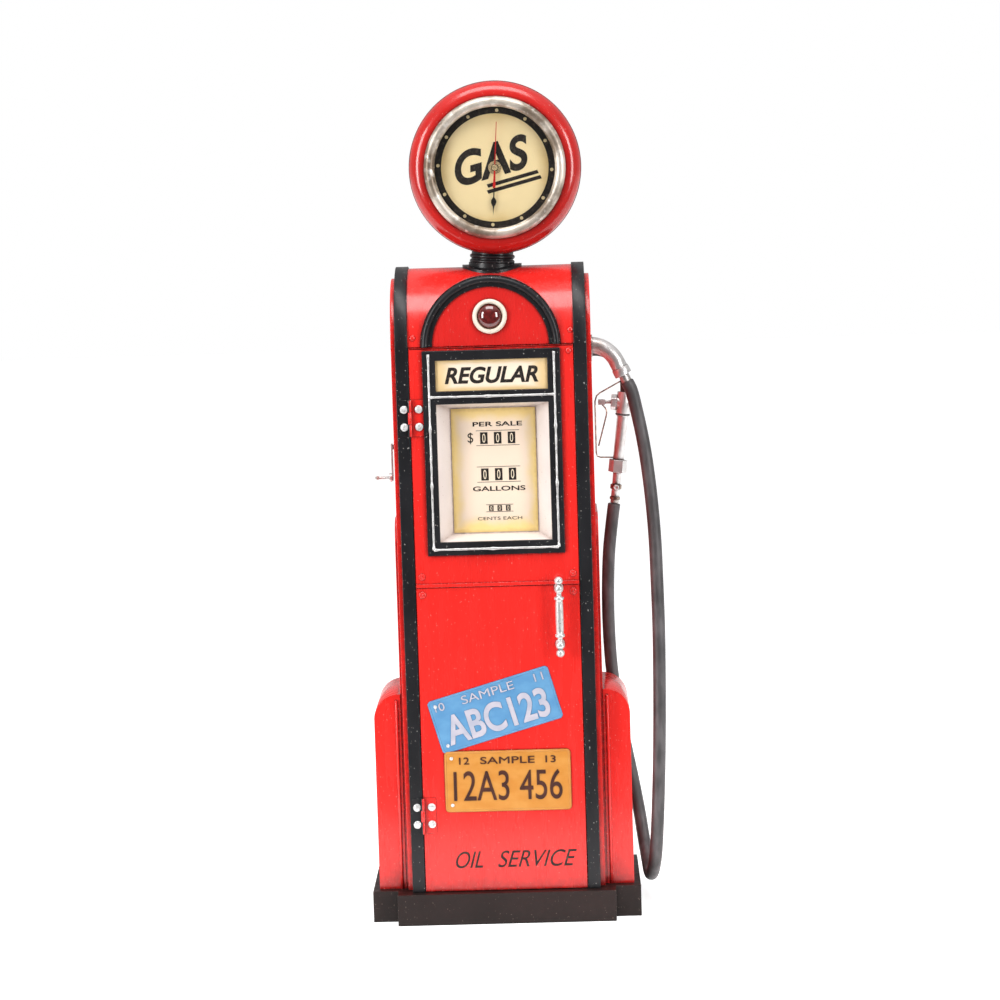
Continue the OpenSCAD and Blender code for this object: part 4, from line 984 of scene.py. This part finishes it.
# The globe's enamel is a darker copy of the red enamel, as painted shade on the globe.
shaded_globe_enamel = enamel(
    "shaded_globe_enamel", (0.56, 0.016, 0.013, 1), (0.07, 0.004, 0.004, 1), (0.85, 0.42, 0.36, 1),
    0.9, 0.5, 0.20, blotch=0.16,
)
dress(shaded_globe_enamel, "globe_drum", "globe_rims", edge=0)
dress(shaded_globe_enamel, "globe_back_cover", edge=0.4 * mm)
dress(zinc, "neck_bolt", edge=0.3 * mm)
globe_lean = math.radians(3.6)
globe_middle = Vector(next(j for j in frame["joints"] if j["name"] == "second_hand_spin")["pos_m"])
globe_frame = Matrix.Translation(globe_middle) @ Matrix.Rotation(globe_lean, 4, "Y")

# Each rim is two spun halves, crimped together on its crest, and the crimp is dark with wash.
rims_low, rims_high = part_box("globe_rims")
rim_crest, rim_tube = 85.0 * mm, 14.0 * mm
seam_profile = [
    (rim_crest + 0.5 * mm * math.cos(a), 0.7 * mm * math.sin(a))
    for a in [math.pi / 4 * i for i in range(8)]
]
seam_turn = Matrix.Rotation(globe_lean, 4, "Y") @ Matrix.Rotation(math.pi / 2, 4, "X")
seams = [
    settle(
        turned("seam", seam_profile, 128, loop=True),
        Matrix.Translation((globe_middle.x, y, globe_middle.z)) @ seam_turn,
    )
    for y in (rims_low.y + rim_tube, rims_high.y - rim_tube)
]
printed("globe_seams", seams, shadow_and_seam_paint, "pump_body")


# ---------- Clock ----------
# A quartz clock behind flat glass: a printed dial with twelve dots on a black ring, in a bezel
# of brushed tin plate that has tarnished.
bezel_tin, graph = material("bezel_tin", Metallic=0.6)
bezel_tone = graph.mix(
    graph.span(graph.noise(26, 6), 0.40, 0.60), (0.72, 0.64, 0.55, 1), (0.22, 0.165, 0.12, 1)
)
bezel_tone = graph.mix(graph.span(graph.noise(120, 4), 0.52, 0.72), bezel_tone, (0.85, 0.80, 0.73, 1))
# Painted shade darkens its corners.
shade_corners(graph, 0.004, 0.85, bezel_tone, (0.05, 0.035, 0.028, 1))
roughen(graph, 700, 0.32, 0.55, 0.06)
dress(bezel_tin, "clock_bezel", edge=0)

dial_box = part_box("clock_dial")
dial_radius, dial_face = width_of(dial_box) / 2, dial_box[0].y
dial_paper = card_paper(
    "dial_paper", globe_middle, (dial_radius, 1, dial_radius),
    (0.90, 0.72, 0.40, 1), (0.68, 0.48, 0.19, 1), 0.6,
)
dress(dial_paper, "clock_dial", edge=0)


def on_dial(part, x, z, tilt=0.0, lift=0.0):
    """Sets a part on the dial, at millimetres from its middle and turned by degrees."""
    place = Matrix.Translation((x * mm, dial_face - lift * mm, z * mm))
    turn = Matrix.Rotation(math.pi / 2, 4, "X") @ Matrix.Rotation(math.radians(tilt), 4, "Z")
    return settle(part, globe_frame @ place @ turn)


def disc_ring(name, inner, outer, depth=0.15 * mm, steps=128):
    """A flat printed ring in X and Y about the origin; an inner radius of 0 gives a dot."""
    profile = [(outer, 0), (outer, depth)] + ([(inner, depth), (inner, 0)] if inner else [(0, depth)])
    ring = turned(name, profile, steps, loop=inner > 0)
    ring.data.shade_flat()
    return ring


word_tilt = 18
dial_parts = [on_dial(disc_ring("chapter_ring", 53.2 * mm, 60.5 * mm), 0, 0)]
dial_parts.append(
    on_dial(letters("dial_word", "GAS", 78 * mm, 34 * mm, slant=0.3, weight=0.03), -3, 7, word_tilt)
)
# Two bars under the word, measured along the word and down from it.
lean, along = math.radians(word_tilt), 14
for down, length in ((-15.5, 52), (-21.3, 55)):
    x = along * math.cos(lean) - down * math.sin(lean)
    z = along * math.sin(lean) + down * math.cos(lean)
    dial_parts.append(on_dial(slab("bar", length * mm, 3.6 * mm, slant=-0.2), x, z, word_tilt))
printed("dial_print", dial_parts, ink, "pump_body")
dot_radius, dots_radius = 1.7 * mm, 56.3
dots = [
    on_dial(
        disc_ring("dot", 0, dot_radius, steps=24),
        dots_radius * math.sin(a), dots_radius * math.cos(a), lift=0.15,
    )
    for a in [math.pi / 6 * i for i in range(12)]
]
dot_paint, graph = material("dot_paint", Roughness=0.45)
graph.tint(graph.noise(500, 2), (0.82, 0.68, 0.40, 1), (0.66, 0.50, 0.24, 1))
printed("dial_dots", dots, dot_paint, "pump_body")

glass, graph = material("clock_glass", Transmission_Weight=1.0, IOR=1.45, Metallic=0.0, Alpha=0.3)
roughen(graph, 60, 0.0, 0.04)
graph.shader.inputs["Base Color"].default_value = (0.97, 0.98, 0.97, 1)
dress(glass, "clock_glass", edge=0)

brass, graph = material("brass", Metallic=0.5)
graph.tint(graph.noise(300, 3), (0.88, 0.72, 0.44, 1), (0.70, 0.50, 0.25, 1))
roughen(graph, 900, 0.18, 0.34)
dress(black_plastic, "clock_movement", edge=0)
movement = nodes["clock_movement"]
movement.data.materials.append(brass)
for face in movement.data.polygons:
    if face.center.y < dial_face + 0.1 * mm:
        face.material_index = 1

hand_black, graph = material("hand_black", Metallic=0.3, Roughness=0.35)
graph.tint(graph.noise(400, 2), (0.010, 0.010, 0.010, 1), (0.030, 0.028, 0.026, 1))
hand_red, graph = material("hand_red", Roughness=0.35)
graph.tint(graph.noise(400, 2), (0.62, 0.012, 0.012, 1), (0.50, 0.010, 0.010, 1))
dress(hand_black, "hour_hand", "minute_hand", edge=0)
dress(hand_red, "second_hand", edge=0)
nodes["second_hand"].data.materials.append(brass)
hub_radius = 4.6 * mm
for face in nodes["second_hand"].data.polygons:
    from_axis = math.hypot(face.center.x - globe_middle.x, face.center.z - globe_middle.z)
    face.material_index = int(from_axis < hub_radius)


# ---------- Outlet, nozzle and crank ----------
# Pipe fittings in silver metal. The elbow comes out of the side wall, the nozzle hangs from a
# boot in the wall by its bent spout, and the reset crank has a thin pin for a knob.
aged_silver, graph = material("aged_silver", Metallic=0.78)
silver_tone = graph.mix(
    graph.span(graph.noise(60, 5), 0.40, 0.70), (0.74, 0.72, 0.71, 1), (0.50, 0.45, 0.42, 1)
)
# Painted shade darkens its corners.
shade_corners(graph, 0.006, 0.9, silver_tone, (0.08, 0.05, 0.04, 1))
roughen(graph, 160, 0.30, 0.46, 0.08)
dress(aged_silver, "outlet_elbow", "elbow_collar", edge=0.4 * mm)
dress(aged_silver, "nozzle_boot", "nozzle_valve", "nozzle_grip", "nozzle_nuts", edge=0.5 * mm)
brown_nickel, graph = material("brown_nickel", Metallic=0.7)
nickel_tone = graph.mix(
    graph.span(graph.noise(220, 4), 0.35, 0.65), (0.42, 0.32, 0.26, 1), (0.16, 0.10, 0.08, 1)
)
# Painted shade darkens its corners.
shade_corners(graph, 0.004, 0.7, nickel_tone, (0.05, 0.03, 0.02, 1))
roughen(graph, 300, 0.22, 0.42)
dress(brown_nickel, "nozzle_clamps", "trigger_guard", "nozzle_trigger", edge=0)
dress(aged_silver, "crank_bearing", "reset_crank", edge=0.2 * mm)

# The upper clamp's screw shows its head in front, and a black ring seals the grip to the valve.
nozzle_foot, nozzle_lean = Vector((120, 60, 402.6)) * mm, math.radians(6.7)
nozzle_axis = Vector((math.sin(nozzle_lean), 0, math.cos(nozzle_lean)))
upper_clamp = islands("nozzle_clamps")[-1]
clamp_middle = middle_of(upper_clamp)
screw_profile = [(2.9, -0.8), (2.9, 0.7), (2.4, 1.1), (1.4, 1.2), (1.2, 0.5), (0, 0.5)]
screw_head = turned("clamp_screw_head", in_mm(screw_profile), 24)
settle(screw_head, facing_front(clamp_middle.x, upper_clamp[0].y, clamp_middle.z))
finish_with(screw_head, aged_silver)
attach(screw_head, "nozzle")

grip_low, grip_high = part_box("nozzle_grip")
seal_at = nozzle_foot + nozzle_axis * ((grip_high.z - nozzle_foot.z) / nozzle_axis.z - 2.0 * mm)
grip_radius = (grip_high.y - grip_low.y) / 2
seal_tube = 0.9 * mm
seal_profile = [
    (grip_radius + 0.2 * mm + seal_tube * math.cos(a), seal_tube * math.sin(a))
    for a in [math.pi / 5 * i for i in range(10)]
]
seal = turned("grip_seal", seal_profile, 40, loop=True)
settle(seal, Matrix.Translation(seal_at) @ Matrix.Rotation(nozzle_lean, 4, "Y"))
finish_with(seal, rubber)
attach(seal, "nozzle")
dark_pipe, graph = material("dark_pipe", Metallic=0.6)
graph.tint(graph.noise(120, 4), (0.03, 0.028, 0.028, 1), (0.09, 0.07, 0.065, 1))
roughen(graph, 420, 0.3, 0.5)
dress(dark_pipe, "nozzle_spout", edge=0)


# ---------- Studio ----------
# A pale floor and soft light from two tall panels beside the camera and one overhead.
floor_mesh = bpy.data.meshes.new("floor")
floor_mesh.from_pydata([(-6, -0.5, 0), (6, -0.5, 0), (6, 9, 0), (-6, 9, 0)], [], [(0, 1, 2, 3)])
floor = link(bpy.data.objects.new("floor", floor_mesh))
floor_paint, graph = material("floor_paint", Roughness=0.9, Specular_IOR_Level=0.1, Emission_Strength=0.6)
graph.tint(graph.noise(3, 2), (0.93, 0.93, 0.93, 1), (0.95, 0.95, 0.95, 1))
graph.shader.inputs["Emission Color"].default_value = (1, 1, 1, 1)
finish_with(floor, floor_paint)


def soft_light(name, place, target, width, height, power):
    """A large soft panel that faces a point."""
    lamp = bpy.data.lights.new(name, "AREA")
    lamp.shape = "RECTANGLE"
    lamp.size, lamp.size_y, lamp.energy = width, height, power
    holder = link(bpy.data.objects.new(name, lamp))
    holder.location = place
    holder.rotation_mode = "QUATERNION"
    holder.rotation_quaternion = (Vector(target) - Vector(place)).to_track_quat("-Z", "Y")
    return holder


pump_heart = (0, 0, 0.42)
soft_light("panel_left", (-2.1, -1.7, 1.0), pump_heart, 0.7, 1.8, 53)
soft_light("panel_right", (2.1, -1.9, 1.0), pump_heart, 0.7, 1.6, 40)
soft_light("panel_top", (0, -0.8, 2.4), pump_heart, 1.6, 1.0, 30)

# The backdrop is white to the camera. The pieces mirror a room that is dim behind the camera.
world = bpy.data.worlds.new("studio")
bpy.context.scene.world = world
world.use_nodes = True
room = Graph(world.node_tree)
heading = room.node("SeparateXYZ", {0: room.node("TexCoord").outputs["Generated"]}).outputs
room_light = room.maths(
    "MAXIMUM", room.span(heading["Y"], -0.7, 0.5, 0.12, 0.50), room.span(heading["Z"], 0.3, 0.9, 0.0, 0.7)
)
seen = room.node("LightPath").outputs["Is Camera Ray"]
backdrop = world.node_tree.nodes["Background"]
backdrop.inputs["Color"].default_value = (1, 1, 1, 1)
room.tree.links.new(room.maths("MAXIMUM", room_light, seen), backdrop.inputs["Strength"])
bpy.context.scene.view_settings.view_transform = "Standard"
